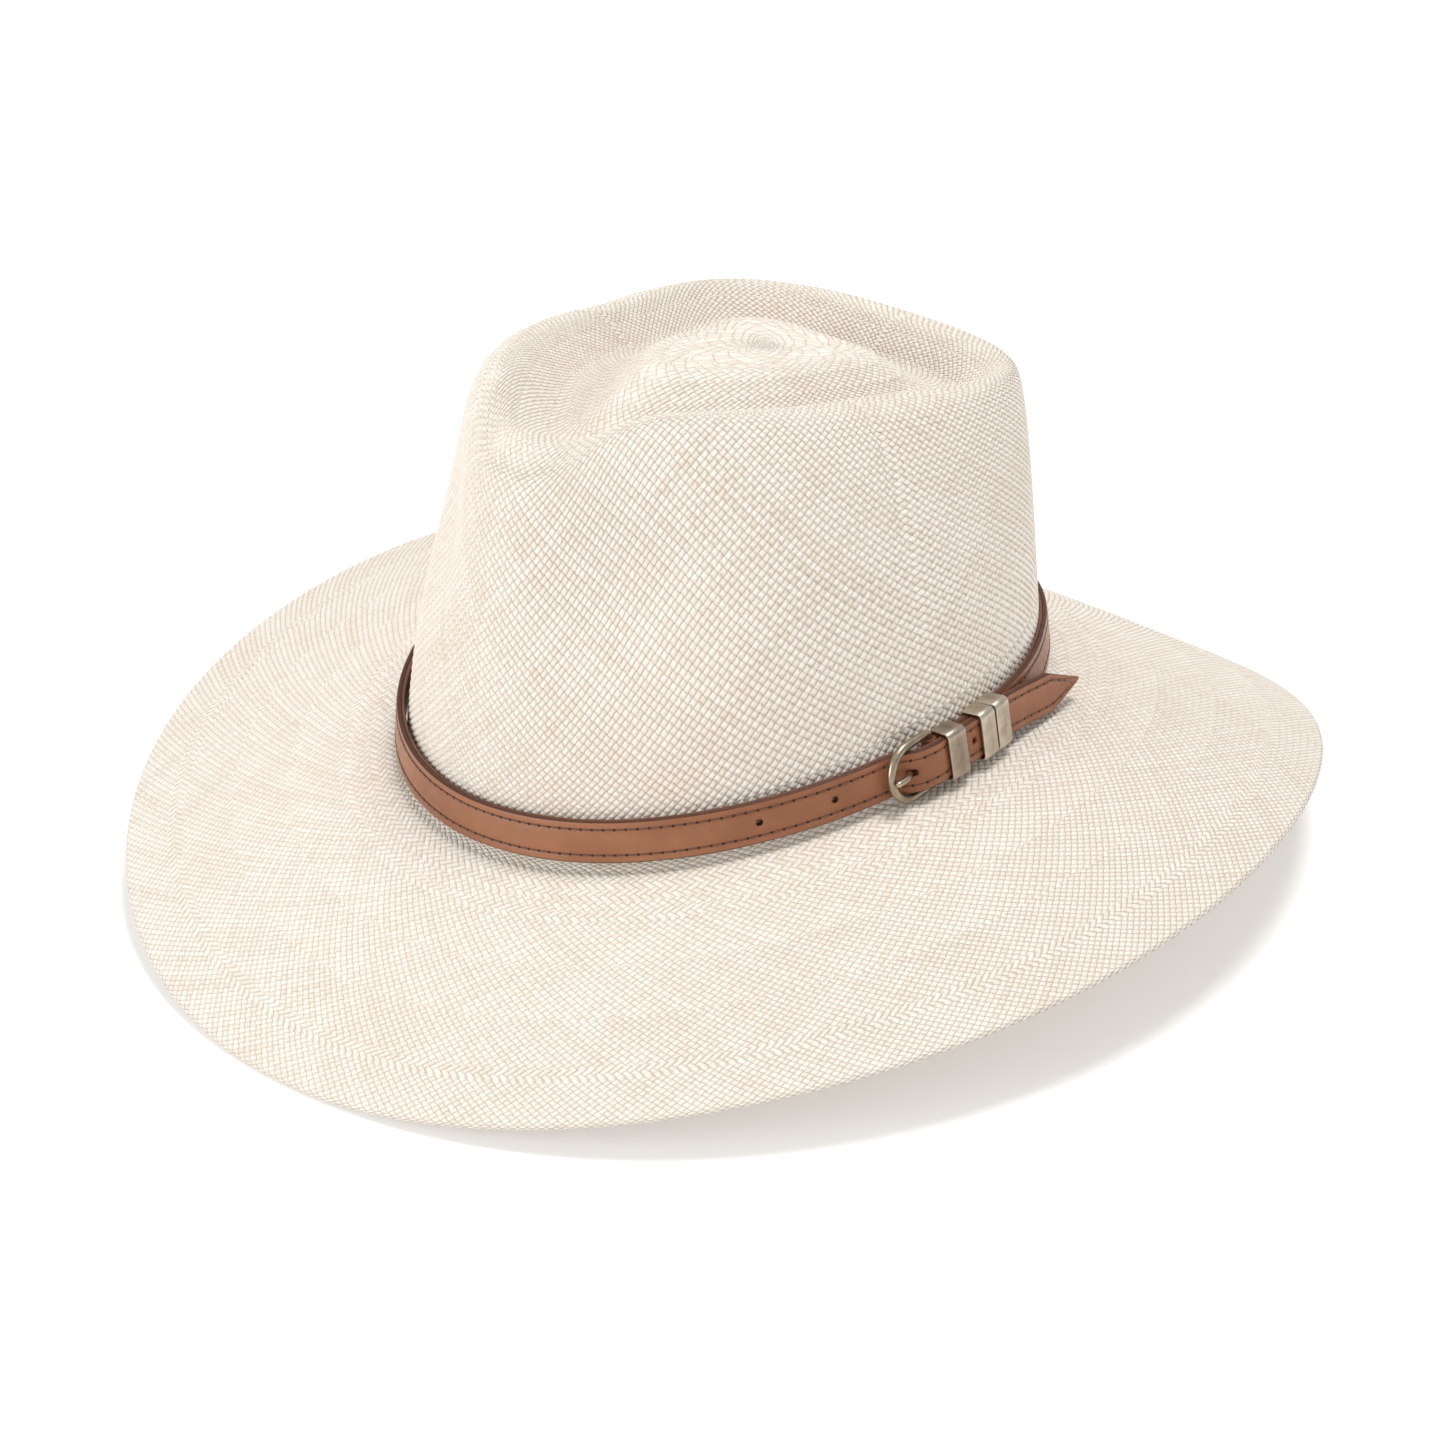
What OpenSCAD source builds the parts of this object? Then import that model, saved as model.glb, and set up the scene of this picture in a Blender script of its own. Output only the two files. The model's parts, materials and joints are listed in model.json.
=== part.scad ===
// Wide-brimmed straw hat with a teardrop crown and a buckled leather hatband.
// Front of the hat is -Y, the wearer's left is +X. Angles go round the head from the front,
// 0, over the wearer's left, 90, to the back, 180. The origin is on the surface that the brim
// rests on, below the middle of the brim.

/* [Head opening] */
// Length of the straw at the foot of the crown, front to back
head_length = 203; // [195:0.5:212]
// Width of the straw at the foot of the crown
head_width = 176.5; // [170:0.5:184]
// Thickness of the woven straw
straw_thickness = 1.6; // [1.2:0.1:2]
// How far the foot of the crown dips at front and back, against its sides
foot_dip = 3; // [0:0.5:5]
// How far the foot of the crown leans down at the front and up at the back
foot_tilt = 4.7; // [0:0.1:6]

/* [Brim] */
// Mean width of the brim, from the foot of the crown to the edge
brim_width = 84.4; // [70:0.1:95]
// Extra width at the front, taken off at the back
brim_front_extra = 2.8; // [0:0.1:5]
// Extra width at the sides, taken off at front and back
brim_side_extra = 4.2; // [0:0.1:8]
// Mean drop of the edge below the hatband's lower edge
brim_drop = 30.2; // [25:0.1:36]
// How much more the edge drops at front and back than at the sides
brim_roll = 15.1; // [8:0.1:18]
// Curl of the brim: 1 is a cone, more bends it down near the edge
brim_curl = 1.2; // [1:0.05:1.6]

/* [Crown] */
// Height of the crest above the hatband's lower edge, at the middle
crown_height = 104.5; // [95:0.5:112]
// Slope of the crest down towards the back, per millimetre
crest_slope = 0.181; // [0:0.001:0.22]
// Half the length of the crest's outline
crest_half_length = 75.4; // [70:0.1:80]
// Half the width of the crest's outline
crest_half_width = 52.7; // [46:0.1:56]
// How much wider the crest is behind, and narrower in front
crest_taper = 0.5; // [0:0.05:0.5]
// Depth of the channel inside the crest
channel_depth = 10; // [6:0.5:14]
// Extra depth of the channel at the front
channel_front_depth = 7; // [0:0.5:12]
// Dip of the crest at the front pinch
pinch_depth = 20; // [0:0.5:24]
// Depth of the finger dents beside the pinch
dent_depth = 10; // [0:0.5:12]

/* [Hatband] */
// Height of the leather strap
strap_height = 12.6; // [11:0.1:13]
// Thickness of the strap's face leather
face_thickness = 1.5; // [1.2:0.1:1.8]
// Thickness of the strap's backing leather
backing_thickness = 0.9; // [0.6:0.1:1]
// Diameter of the buckle's rod
rod_d = 2.3; // [1.8:0.1:2.4]
// Length of the buckle along the strap, over its rods
buckle_length = 19.6; // [18:0.1:21]
// Height of the buckle, over its rods
buckle_height = 18.4; // [18:0.1:19]
// Diameter of the buckle's prong
prong_d = 2.2; // [1.6:0.1:2.2]
// Width of the keeper beside the buckle
front_keeper_width = 7.2; // [5:0.1:7.5]
// Width of each of the two keepers behind it
rear_keeper_width = 6.4; // [4:0.1:6.8]
// Thickness of the keepers' metal
keeper_metal = 0.9; // [0.6:0.1:1]

/* [Sweatband] */
// Height of the sweatband
sweatband_height = 32; // [25:1:36]
// Thickness of the sweatband
sweatband_thickness = 0.9; // [0.6:0.1:1.2]
// Diameter of the piping along the sweatband's foot
reed_d = 2.2; // [1.6:0.1:2.4]

/* [Hidden] */
$fn = 64;

half_l = head_length / 2;
half_w = head_width / 2;
head_y = brim_front_extra;          // puts the brim's middle over the origin
band_gap = 3;                       // the strap's lower edge rides this far above the foot
brim_twist = 3;                     // edge wave: lifts the front quarters against the rear ones
brim_flat = 1.8;                    // edge wave: flattens front, back and sides
crest_y = 6;                        // middle of the crest's outline
crest_square = 3.1;                 // exponent of the crest's outline: 2 is an ellipse
rosette_y = 24;                     // middle of the raised island in the tip
channel_at = 0.74;                  // place of the channel's bottom, 1 at the crest
island_at = 0.38;                   // place of the island's shoulder
pinch_spread = 37;                  // degrees round the crest
crest_nose = 9;                     // the crest's middle reaches this much further forward
nose_spread = 32;                   // degrees round the crest
dent_angle = 36;                    // degrees from the front
dent_spread = 20;
dent_height = 0.72;                 // as a part of the crown's height
dent_tall = 0.24;

straw_steps = 80;                   // columns round the hat
brim_rows = 7;
wall_rows = 10;
tip_rows = 11;
ring_steps = 96;

function mix(a, b, t) = a + (b - a) * t;
function signed_angle(phi) = (phi + 180) % 360 - 180;

// --- The straw's outer face -----------------------------------------------------------------

// Point of the head oval, moved outwards by d
function oval(phi, d) =
    let (s = sin(phi), c = cos(phi), n = norm([s / half_w, c / half_l]))
    [half_w * s + d * s / half_w / n, -half_l * c - d * c / half_l / n];

// Height of the hatband's lower edge
function band_z(phi) = -foot_dip * cos(2 * phi) - foot_tilt * cos(phi);
function foot_z(phi) = band_z(phi) - band_gap;

function brim_reach(phi) =
    brim_width + brim_front_extra * cos(phi) - brim_side_extra * cos(2 * phi);
function edge_z(phi) =
    -brim_drop - brim_roll * cos(2 * phi) - brim_flat * cos(4 * phi)
    + brim_twist * (cos(3 * phi) - cos(phi));

function brim_point(phi, t) =
    let (o = oval(phi, t * brim_reach(phi)))
    [o[0], o[1], mix(foot_z(phi), edge_z(phi), pow(t, brim_curl))];

function crest_plane(y) = crown_height - crest_slope * (y - 10);
function crest_point(phi) =
    let (s = sin(phi), c = cos(phi), e = 2 / crest_square, nose = bell(signed_angle(phi) / nose_spread))
    [
        crest_half_width * sign(s) * pow(abs(s), e) * (1 - crest_taper * c),
        crest_y - crest_half_length * sign(c) * pow(abs(c), e) - crest_nose * nose
    ];
function bell(x) = exp(-x * x);
function pinch(phi) = pinch_depth * exp(-pow(abs(signed_angle(phi)) / pinch_spread, 3));

function wall_point(phi, t) =
    let (
        m = 2.7 - 0.8 * cos(phi),               // fuller shoulder behind than in front
        lean = 0.35 + 0.15 * cos(phi),
        h = pow(sin(90 * t), 2 / m),
        g = mix(1 - pow(cos(90 * t), 2 / m), h, lean),
        dent = dent_depth * bell((abs(signed_angle(phi)) - dent_angle) / dent_spread)
            * bell((h - dent_height) / dent_tall),
        foot = oval(phi, -dent * (1 - pow(t, 8))),
        crest = crest_point(phi),
        top = crest_plane(crest[1]) - pinch(phi)
    )
    [mix(foot[0], crest[0], g), mix(foot[1], crest[1], g), mix(foot_z(phi), top, h)];

// 1 in the channel's bottom, 0 at the crest and on the island
function channel(r) =
    r > channel_at
        ? (1 + cos(180 * (r - channel_at) / (1 - channel_at))) / 2
        : r > island_at ? (1 - cos(180 * (r - island_at) / (channel_at - island_at))) / 2 : 0;

function tip_point(phi, r) =
    let (
        crest = crest_point(phi),
        x = crest[0] * r,
        y = mix(rosette_y, crest[1], r),
        front = pow(max(0, cos(phi)), 2),
        depth = (channel_depth + channel_front_depth * front) * channel(r),
        fade = pow(max(0, (r - channel_at) / (1 - channel_at)), 2)
    )
    [x, y, crest_plane(y) - depth - pinch(phi) * fade];

// The whole face: s runs 0 to 1 up the brim, to 2 up the wall and to 3 over the tip
function straw_point(phi, s) =
    s < 1 ? brim_point(phi, 1 - s) : s < 2 ? wall_point(phi, s - 1) : tip_point(phi, 3 - s);

function straw_normal(phi, s) =
    let (
        step = 0.02,
        low = max(0, s - step),
        high = min(2.97, s + step),
        across = straw_point(phi, high) - straw_point(phi, low),
        along = straw_point(phi + 1, s) - straw_point(phi - 1, s),
        n = cross(along, across)
    )
    n / norm(n);

// The underside, one straw's thickness inside the outer face
function straw_under(phi, s) =
    straw_point(phi, s) - straw_thickness * straw_normal(phi, s);

// Lowest point of the underside, at front and back: the hat stands on it
rest_drop = -min([for (s = [0, 0.02]) for (phi = [0, 180]) straw_under(phi, s)[2]]);

module on_head() translate([0, head_y, rest_drop]) children();

// --- Solids swept round the head ---------------------------------------------------------------

// Faces of a tube: rings of n points each, open or closed into a loop
function tube_faces(rings, n, loop) = concat(
    [
        for (i = [0 : rings - (loop ? 1 : 2)]) for (j = [0 : n - 1])
            let (k = (j + 1) % n, next = (i + 1) % rings)
            [i * n + j, next * n + j, next * n + k, i * n + k]
    ],
    loop ? [] : [[for (j = [0 : n - 1]) j], [for (j = [n - 1 : -1 : 0]) (rings - 1) * n + j]]
);

// Lean of the strap against the crown
function strap_lean(phi) = 5 + 2.5 * cos(phi);

// Point beside the crown: d out from the foot oval and h up, both in the strap's leaning section
function band_point(phi, d, h) =
    let (lean = strap_lean(phi), o = oval(phi, d * cos(lean) - h * sin(lean)))
    [o[0], o[1], band_z(phi) + h * cos(lean) + d * sin(lean)];

// How far the crown's inner wall has leant in at h above its foot
function wall_shift(phi, h) = (0.14 + 0.08 * cos(phi)) * h;

// Ring of the head oval with a rectangular section, along the crown's inner wall
module inner_ring(out, thick, low, high) {
    points = [
        for (i = [0 : ring_steps - 1])
            let (phi = 360 * i / ring_steps, z = foot_z(phi))
            for (corner = [[0, low], [0, high], [thick, high], [thick, low]])
                let (o = oval(phi, out - wall_shift(phi, corner[1]) - corner[0]))
                [o[0], o[1], z + corner[1]]
    ];
    polyhedron(points, tube_faces(ring_steps, 4, true), convexity = 8);
}

// --- Straw body ----------------------------------------------------------------------------------

rows = concat(
    [for (i = [0 : brim_rows - 1]) i / brim_rows],
    [for (i = [0 : wall_rows - 1]) 1 + i / wall_rows],
    [for (i = [0 : tip_rows - 1]) 2 + i / tip_rows]
);

module straw_body() {
    n = straw_steps;
    count = len(rows);
    outer = [for (s = rows) for (i = [0 : n - 1]) straw_point(360 * i / n, s)];
    inner = [for (s = rows) for (i = [0 : n - 1]) straw_under(360 * i / n, s)];
    tip = [0, rosette_y, crest_plane(rosette_y)];
    points = concat(outer, inner, [tip, tip - [0, 0, straw_thickness]]);
    under = n * count;
    last = n * (count - 1);
    faces = concat(
        [
            for (r = [0 : count - 2]) for (i = [0 : n - 1])
                let (k = (i + 1) % n, a = r * n)
                each [[a + i, a + n + i, a + k], [a + k, a + n + i, a + n + k]]
        ],
        [
            for (r = [0 : count - 2]) for (i = [0 : n - 1])
                let (k = (i + 1) % n, a = under + r * n)
                each [[a + i, a + k, a + n + i], [a + k, a + n + k, a + n + i]]
        ],
        [
            for (i = [0 : n - 1])
                let (k = (i + 1) % n)
                each [
                    [last + i, 2 * under, last + k],
                    [under + last + i, under + last + k, 2 * under + 1],
                    [i, k, under + i],
                    [k, under + k, under + i]
                ]
        ]
    );
    color("#eee0cc") on_head() polyhedron(points, faces, convexity = 12);
}

// --- Sweatband -----------------------------------------------------------------------------------

sweat_out = -straw_thickness - 0.6;
sweat_foot = 3.2;                   // foot of the sweatband above the foot of the crown

module sweatband() {
    color("#c9b08c") on_head()
        inner_ring(sweat_out, sweatband_thickness, sweat_foot, sweat_foot + sweatband_height);
}

module sweatband_reed() {
    sides = 8;
    r = reed_d / 2;
    out = sweat_out - r;
    points = [
        for (i = [0 : ring_steps - 1])
            let (phi = 360 * i / ring_steps, z = foot_z(phi) + sweat_foot - r - 0.05)
            for (j = [0 : sides - 1])
                let (a = 360 * j / sides, o = oval(phi, out - wall_shift(phi, sweat_foot) + r * sin(a)))
                [o[0], o[1], z + r * cos(a)]
    ];
    color("#b89a72") on_head() polyhedron(points, tube_faces(ring_steps, sides, true), convexity = 8);
}

module sweatband_stitching() {
    height = 0.5;
    up = sweat_foot + 2;
    color("#f2ead8") on_head()
        inner_ring(sweat_out - sweatband_thickness, 0.35, up, up + height);
}

module sweatband_bow() {
    loop_l = 11;
    loop_h = 6;
    thick = 1.2;
    up = sweat_foot + 20;
    inside = half_l + sweat_out - wall_shift(180, up + loop_h) - sweatband_thickness;
    color("#b89a72") on_head() translate([0, inside - 2, foot_z(180) + up]) {
        for (side = [-1, 1])
            hull() {
                translate([side * 1.5, 0, 0]) sphere(d = thick * 1.2, $fn = 16);
                translate([side * loop_l, 0, loop_h / 2]) sphere(d = thick, $fn = 16);
                translate([side * loop_l, 0, -loop_h / 2]) sphere(d = thick, $fn = 16);
            }
        rotate([90, 0, 0]) cylinder(d = 4, h = 2, center = true, $fn = 24);
    }
}

// --- Hatband: a strap that starts at the buckle's bar, goes round the back and the front, and
// --- comes back to the buckle as the billet, over the bar and through the keepers --------------

bar_angle = 86;                     // place of the buckle's bar, round from the front
mm_per_degree = 1.775;              // along the strap, beside the buckle
function angle_at(s) = bar_angle + s / mm_per_degree;

strap_thick = face_thickness + backing_thickness;
seam_proud = 0.35;                  // stitches stand this far out of the leather
layer_gap = 0.04;                   // between the layers of the strap
lower_out = 1.9;                    // the strap's back, out from the oval, under the billet
bar_out = 3;                        // the bar's axis, out from the foot oval
billet_over = 4.8;                  // the billet's back, where it lies over the strap
corner_at = 51;                     // the point's shoulders, along the strap from the bar
point_at = 65;                      // the strap's point
turn_start = 5;                     // where the strap's doubled end begins
holes_at = [-56, -33, -10, 13.5];   // the billet's holes, along the strap from the bar
hole_d = 2.2;
prong_hole = 3;                     // the hole with the prong in it

// How far the strap's back stands out from the oval, along the strap from the bar
function lower_lay(s) = lookup(s, [[0, lower_out], [45, lower_out], [75, 0.6]]);
function billet_lay(s) = lookup(s, [
    [-50, 0.6], [-16, 0.6], [-14, 0.7], [-13, 1], [-7.5, 5], [-4, 5.5], [0, 5.6],
    [1.4, billet_over + 0.5], [3, billet_over], [32, billet_over], [40, billet_over + 0.6],
    [corner_at, billet_over + 2.8], [point_at, billet_over + 6.8]
]);

// The strap's route in turns of s: first the lower lay, then once round to the billet
turn_s = 360 * mm_per_degree;
function lay(s) = s < turn_s / 2 ? lower_lay(s) : billet_lay(s - turn_s);
route = concat(
    [for (s = [turn_start : 10 : 85]) s],
    [for (i = [0 : 69]) 92 + i * 7],
    [for (s = [-55 : 3 : -25]) turn_s + s],
    [for (s = [-23 : 1.5 : 13]) turn_s + s],
    [for (s = [16 : 4 : 48]) turn_s + s],
    [for (s = [corner_at, point_at]) turn_s + s]
);

// How far the billet's end hangs below the strap's line
function droop(s) = lookup(s - turn_s, [[31, 0], [corner_at, 3], [point_at, 5.2]]);

// Half the strap's height: it tapers to a point at the billet's end
function strap_half(s) =
    let (b = s - turn_s, taper = max(0, b - corner_at) / (point_at - corner_at))
    mix(strap_height / 2, 0.5, taper);

module strap_layer(inner, outer) {
    points = [
        for (s = route)
            let (phi = angle_at(s), d = lay(s), mid = strap_height / 2 - droop(s), half = strap_half(s))
            each [
                band_point(phi, d + inner, mid - half),
                band_point(phi, d + outer, mid - half),
                band_point(phi, d + outer, mid + half),
                band_point(phi, d + inner, mid + half)
            ]
    ];
    polyhedron(points, tube_faces(len(route), 4, false), convexity = 8);
}

// Puts its children beside the crown at s along the strap: X out from the crown, Y along the
// strap towards the back, Z up it, with the origin on the foot oval at the strap's middle
module beside_crown(s) {
    phi = angle_at(s);
    foot = band_point(phi, 0, strap_height / 2);
    normal = atan2(sin(phi) / half_w, cos(phi) / half_l);
    run = norm(oval(phi + 1, 0) - oval(phi - 1, 0));
    slope = atan((band_z(phi + 1) - band_z(phi - 1)) / run);
    translate(foot) rotate([0, 0, normal - 90]) rotate([0, -strap_lean(phi), 0]) rotate([slope, 0, 0])
        children();
}

module billet_holes() {
    for (i = [0 : len(holes_at) - 1])
        beside_crown(holes_at[i])
            translate([billet_lay(holes_at[i]) + strap_thick / 2, 0, 0]) {
                if (i != prong_hole - 1)
                    rotate([0, 90, 0]) cylinder(d = hole_d, h = 4 * strap_thick, center = true, $fn = 32);
            }
    // The hole with the prong in it is stretched to a slot
    beside_crown(0)
        translate([bar_out, 0, 0])
            for (at = [-11.6, -10.1, -8.5])
                translate([0, at, 0])
                    rotate([0, 90, 0]) cylinder(d = prong_d + 0.8, h = 14, center = true, $fn = 32);
}

fold_gap = 0.1;                     // between the bar and the leather turned round it
fold_leather = 1.1;
fold_r = rod_d / 2 + fold_gap + fold_leather;

fold_reach = turn_start - 0.6;      // the fold ends just before the strap's own end
fold_height = strap_height - 0.4;
slit_length = 7.6;

// The leather turned round the bar, slit for the prong
module buckle_chape() {
    color("#98644a") on_head() at_bar() difference() {
        union() {
            cylinder(r = fold_r, h = fold_height, center = true);
            translate([lower_out - bar_out, 0, -fold_height / 2])
                cube([strap_thick, fold_reach, fold_height]);
        }
        cylinder(d = rod_d + 2 * fold_gap, h = 2 * strap_height, center = true);
        cube([4 * fold_r, slit_length, prong_d + 1], center = true);
    }
}

module hatband_strap() {
    color("#98644a") on_head()
        difference() {
            strap_layer(backing_thickness + layer_gap, strap_thick);
            billet_holes();
        }
}

module hatband_backing() {
    color("#6f4632") on_head()
        difference() {
            strap_layer(0, backing_thickness);
            billet_holes();
        }
}

// One row of stitches, h from the strap's lower edge, on the face up to the point's shoulder
module stitch_row(h) {
    height = 0.6;
    steps = [for (s = route) if (s > 40 && s <= turn_s + 48) s];
    points = [
        for (s = steps)
            let (phi = angle_at(s), d = lay(s) + strap_thick + layer_gap, low = h - droop(s))
            each [
                band_point(phi, d, low), band_point(phi, d + seam_proud, low),
                band_point(phi, d + seam_proud, low + height), band_point(phi, d, low + height)
            ]
    ];
    color("#4a2c1c") on_head() polyhedron(points, tube_faces(len(steps), 4, false), convexity = 8);
}

module hatband_stitching_upper() stitch_row(strap_height - 3);
module hatband_stitching_lower() stitch_row(2.2);

// --- Buckle ---------------------------------------------------------------------------------------

rod_r = rod_d / 2;
frame_half = buckle_height / 2 - rod_r;         // from the middle to a side rod's axis
corner_r = frame_half;                          // the far end is a half circle
straight = buckle_length - rod_d - corner_r;    // length of the side rods
frame_rise = 6;                                 // degrees that the far end stands out from the crown

// The buckle's own frame: the bar's axis is Z, the frame reaches along -Y
module at_bar() beside_crown(0) translate([bar_out, 0, 0]) children();

module buckle_frame() {
    color("#8f7a5c") on_head() at_bar() rotate([0, 0, frame_rise]) {
        cylinder(d = rod_d, h = 2 * frame_half, center = true);
        for (side = [-1, 1]) {
            translate([0, 0, side * frame_half]) sphere(d = rod_d);
            translate([0, 0, side * frame_half]) rotate([90, 0, 0]) cylinder(d = rod_d, h = straight);
        }
        translate([0, -straight, 0]) rotate([0, 90, 0]) rotate([0, 0, 180])
            rotate_extrude(angle = 180) translate([corner_r, 0]) circle(d = rod_d);
    }
}

prong_r = prong_d / 2;
prong_gap = 0.08;                               // running clearance on the bar
eye_r = rod_r + prong_gap + 0.75;               // outside of the eye round the bar
frame_end = straight + corner_r;                // from the bar to the far rod's axis
rest_x = frame_end * sin(frame_rise) + rod_r + prong_r + 0.05;
// The prong's middle line: [out from the bar's axis, along the strap]
prong_line = [
    [0, 0], [0, -7.2], [1.2, -9.4], [2.5, -11.2], [rest_x - 0.2, -13.4], [rest_x, -frame_end - 0.6]
];

module buckle_prong() {
    color("#9a8566") on_head() at_bar() difference() {
        union() {
            cylinder(r = eye_r, h = prong_d, center = true);
            for (i = [0 : len(prong_line) - 2])
                hull()
                    for (p = [prong_line[i], prong_line[i + 1]])
                        translate([p[0], p[1], 0]) sphere(d = prong_d, $fn = 20);
        }
        cylinder(r = rod_r + prong_gap, h = 20, center = true);
    }
}

// --- Keepers: flat metal loops round both layers of the strap ----------------------------------

keeper_gap = 0.35;                              // between a keeper and the leather
keeper_back = lower_out - keeper_gap;           // inside of the keeper's back, out from the oval
keeper_face = billet_over + strap_thick + seam_proud + keeper_gap;
keeper_inside = strap_height + 2 * keeper_gap;
keeper_front_at = 5.8;                          // middles of the keepers, along the strap from the bar
keeper_inner_at = 18.6;
keeper_outer_at = keeper_inner_at + rear_keeper_width + 0.3;

module keeper(s, width) {
    deep = keeper_face - keeper_back;
    outside = keeper_inside + 2 * keeper_metal;
    color("#a8977a") on_head() beside_crown(s) translate([(keeper_back + keeper_face) / 2, 0, 0])
        difference() {
            cube([deep + 2 * keeper_metal, width, outside], center = true);
            cube([deep, width + 1, keeper_inside], center = true);
        }
}

module keeper_front() keeper(keeper_front_at, front_keeper_width);
module keeper_rear_inner() keeper(keeper_inner_at, rear_keeper_width);
module keeper_rear_outer() keeper(keeper_outer_at, rear_keeper_width);

straw_body();
sweatband();
sweatband_reed();
sweatband_stitching();
sweatband_bow();
hatband_strap();
hatband_backing();
hatband_stitching_upper();
hatband_stitching_lower();
buckle_chape();
buckle_frame();
buckle_prong();
keeper_front();
keeper_rear_inner();
keeper_rear_outer();
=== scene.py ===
"""Panama hat: woven straw, buckled leather hatband, sweatband. Form in millimetres, pieces in metres."""
import json
import math

import bmesh
import bpy
import numpy as np
from mathutils import Matrix, Vector


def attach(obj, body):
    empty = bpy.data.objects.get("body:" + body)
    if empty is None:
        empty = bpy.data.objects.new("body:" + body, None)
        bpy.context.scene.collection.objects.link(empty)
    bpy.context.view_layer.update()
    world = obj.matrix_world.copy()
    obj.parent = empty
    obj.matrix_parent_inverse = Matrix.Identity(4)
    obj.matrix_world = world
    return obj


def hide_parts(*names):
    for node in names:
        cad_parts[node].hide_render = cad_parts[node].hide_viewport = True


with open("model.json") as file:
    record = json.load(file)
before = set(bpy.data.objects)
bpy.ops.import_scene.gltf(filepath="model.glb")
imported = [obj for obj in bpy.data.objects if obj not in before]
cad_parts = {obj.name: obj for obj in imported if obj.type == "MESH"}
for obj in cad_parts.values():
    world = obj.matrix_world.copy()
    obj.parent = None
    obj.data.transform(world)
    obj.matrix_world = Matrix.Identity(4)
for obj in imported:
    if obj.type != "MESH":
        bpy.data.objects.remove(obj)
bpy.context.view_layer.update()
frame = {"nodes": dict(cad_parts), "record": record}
MM = 0.001
TURN = 2 * math.pi

# -------- form, as the CAD has it (mm)
HALF_L, HALF_W = 101.5, 88.25
HEAD_Y = 2.8
BAND_GAP = 3.0
HEAD_MOUNT = next(m for m in frame["record"]["mounts"] if m["name"] == "head_opening")
REST_DROP = HEAD_MOUNT["pos_m"][2] / MM + BAND_GAP
STRAW = 1.6
CREST_L, CREST_W, CREST_Y, CREST_SQUARE, CREST_TAPER = 75.4, 52.7, 6.0, 3.1, 0.5
CROWN_H, CREST_SLOPE = 104.5, 0.181
ROSETTE_Y = 24.0
CHANNEL_AT, ISLAND_AT = 0.74, 0.38
CHANNEL_DEPTH, CHANNEL_FRONT = 10.0, 7.0
PINCH_DEPTH, PINCH_SPREAD = 20.0, 37.0
NOSE, NOSE_SPREAD = 9.0, 32.0
DENT_DEPTH, DENT_ANGLE, DENT_SPREAD, DENT_HEIGHT, DENT_TALL = 10.0, 36.0, 20.0, 0.72, 0.24
BRIM_CURL = 1.2


def mix(a, b, t):
    return a + (b - a) * t


def bell(x):
    return np.exp(-x * x)


def signed(phi):
    return (np.degrees(phi) + 180) % 360 - 180


def oval(phi, d=0.0):
    s, c = np.sin(phi), np.cos(phi)
    n = np.hypot(s / HALF_W, c / HALF_L)
    return HALF_W * s + d * s / HALF_W / n, -HALF_L * c - d * c / HALF_L / n


def band_z(phi):
    return -3.0 * np.cos(2 * phi) - 4.7 * np.cos(phi)


def foot_z(phi):
    return band_z(phi) - BAND_GAP


def brim_reach(phi):
    return 84.4 + 2.8 * np.cos(phi) - 4.2 * np.cos(2 * phi)


def edge_z(phi):
    twist = 3.0 * (np.cos(3 * phi) - np.cos(phi))
    return -30.2 - 15.1 * np.cos(2 * phi) - 1.8 * np.cos(4 * phi) + twist


def crest_plane(y):
    return CROWN_H - CREST_SLOPE * (y - 10)


def crest_point(phi):
    s, c = np.sin(phi), np.cos(phi)
    e = 2 / CREST_SQUARE
    x = CREST_W * np.sign(s) * np.abs(s) ** e * (1 - CREST_TAPER * c)
    return x, CREST_Y - CREST_L * np.sign(c) * np.abs(c) ** e - NOSE * bell(signed(phi) / NOSE_SPREAD)


def pinch(phi):
    return PINCH_DEPTH * np.exp(-np.abs(signed(phi) / PINCH_SPREAD) ** 3)


def brim_point(phi, t):
    x, y = oval(phi, t * brim_reach(phi))
    return x, y, mix(foot_z(phi), edge_z(phi), t ** BRIM_CURL)


def wall_point(phi, t):
    m = 2.7 - 0.8 * np.cos(phi)
    lean = 0.35 + 0.15 * np.cos(phi)
    h = math.sin(math.pi / 2 * t) ** (2 / m)
    g = mix(1 - max(0.0, math.cos(math.pi / 2 * t)) ** (2 / m), h, lean)
    dent = DENT_DEPTH * bell((np.abs(signed(phi)) - DENT_ANGLE) / DENT_SPREAD)
    dent = dent * bell((h - DENT_HEIGHT) / DENT_TALL) * (1 - t ** 8)
    x, y = oval(phi, -dent)
    cx, cy = crest_point(phi)
    top = crest_plane(cy) - pinch(phi)
    return mix(x, cx, g), mix(y, cy, g), mix(foot_z(phi), top, h)


def channel(r):
    if r > CHANNEL_AT:
        return (1 + math.cos(math.pi * (r - CHANNEL_AT) / (1 - CHANNEL_AT))) / 2
    if r > ISLAND_AT:
        return (1 - math.cos(math.pi * (r - ISLAND_AT) / (CHANNEL_AT - ISLAND_AT))) / 2
    return 0.0


def tip_point(phi, r):
    cx, cy = crest_point(phi)
    y = mix(ROSETTE_Y, cy, r)
    depth = (CHANNEL_DEPTH + CHANNEL_FRONT * np.maximum(0, np.cos(phi)) ** 2) * channel(r)
    fade = max(0.0, (r - CHANNEL_AT) / (1 - CHANNEL_AT)) ** 2
    return cx * r, y, crest_plane(y) - depth - pinch(phi) * fade


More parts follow.
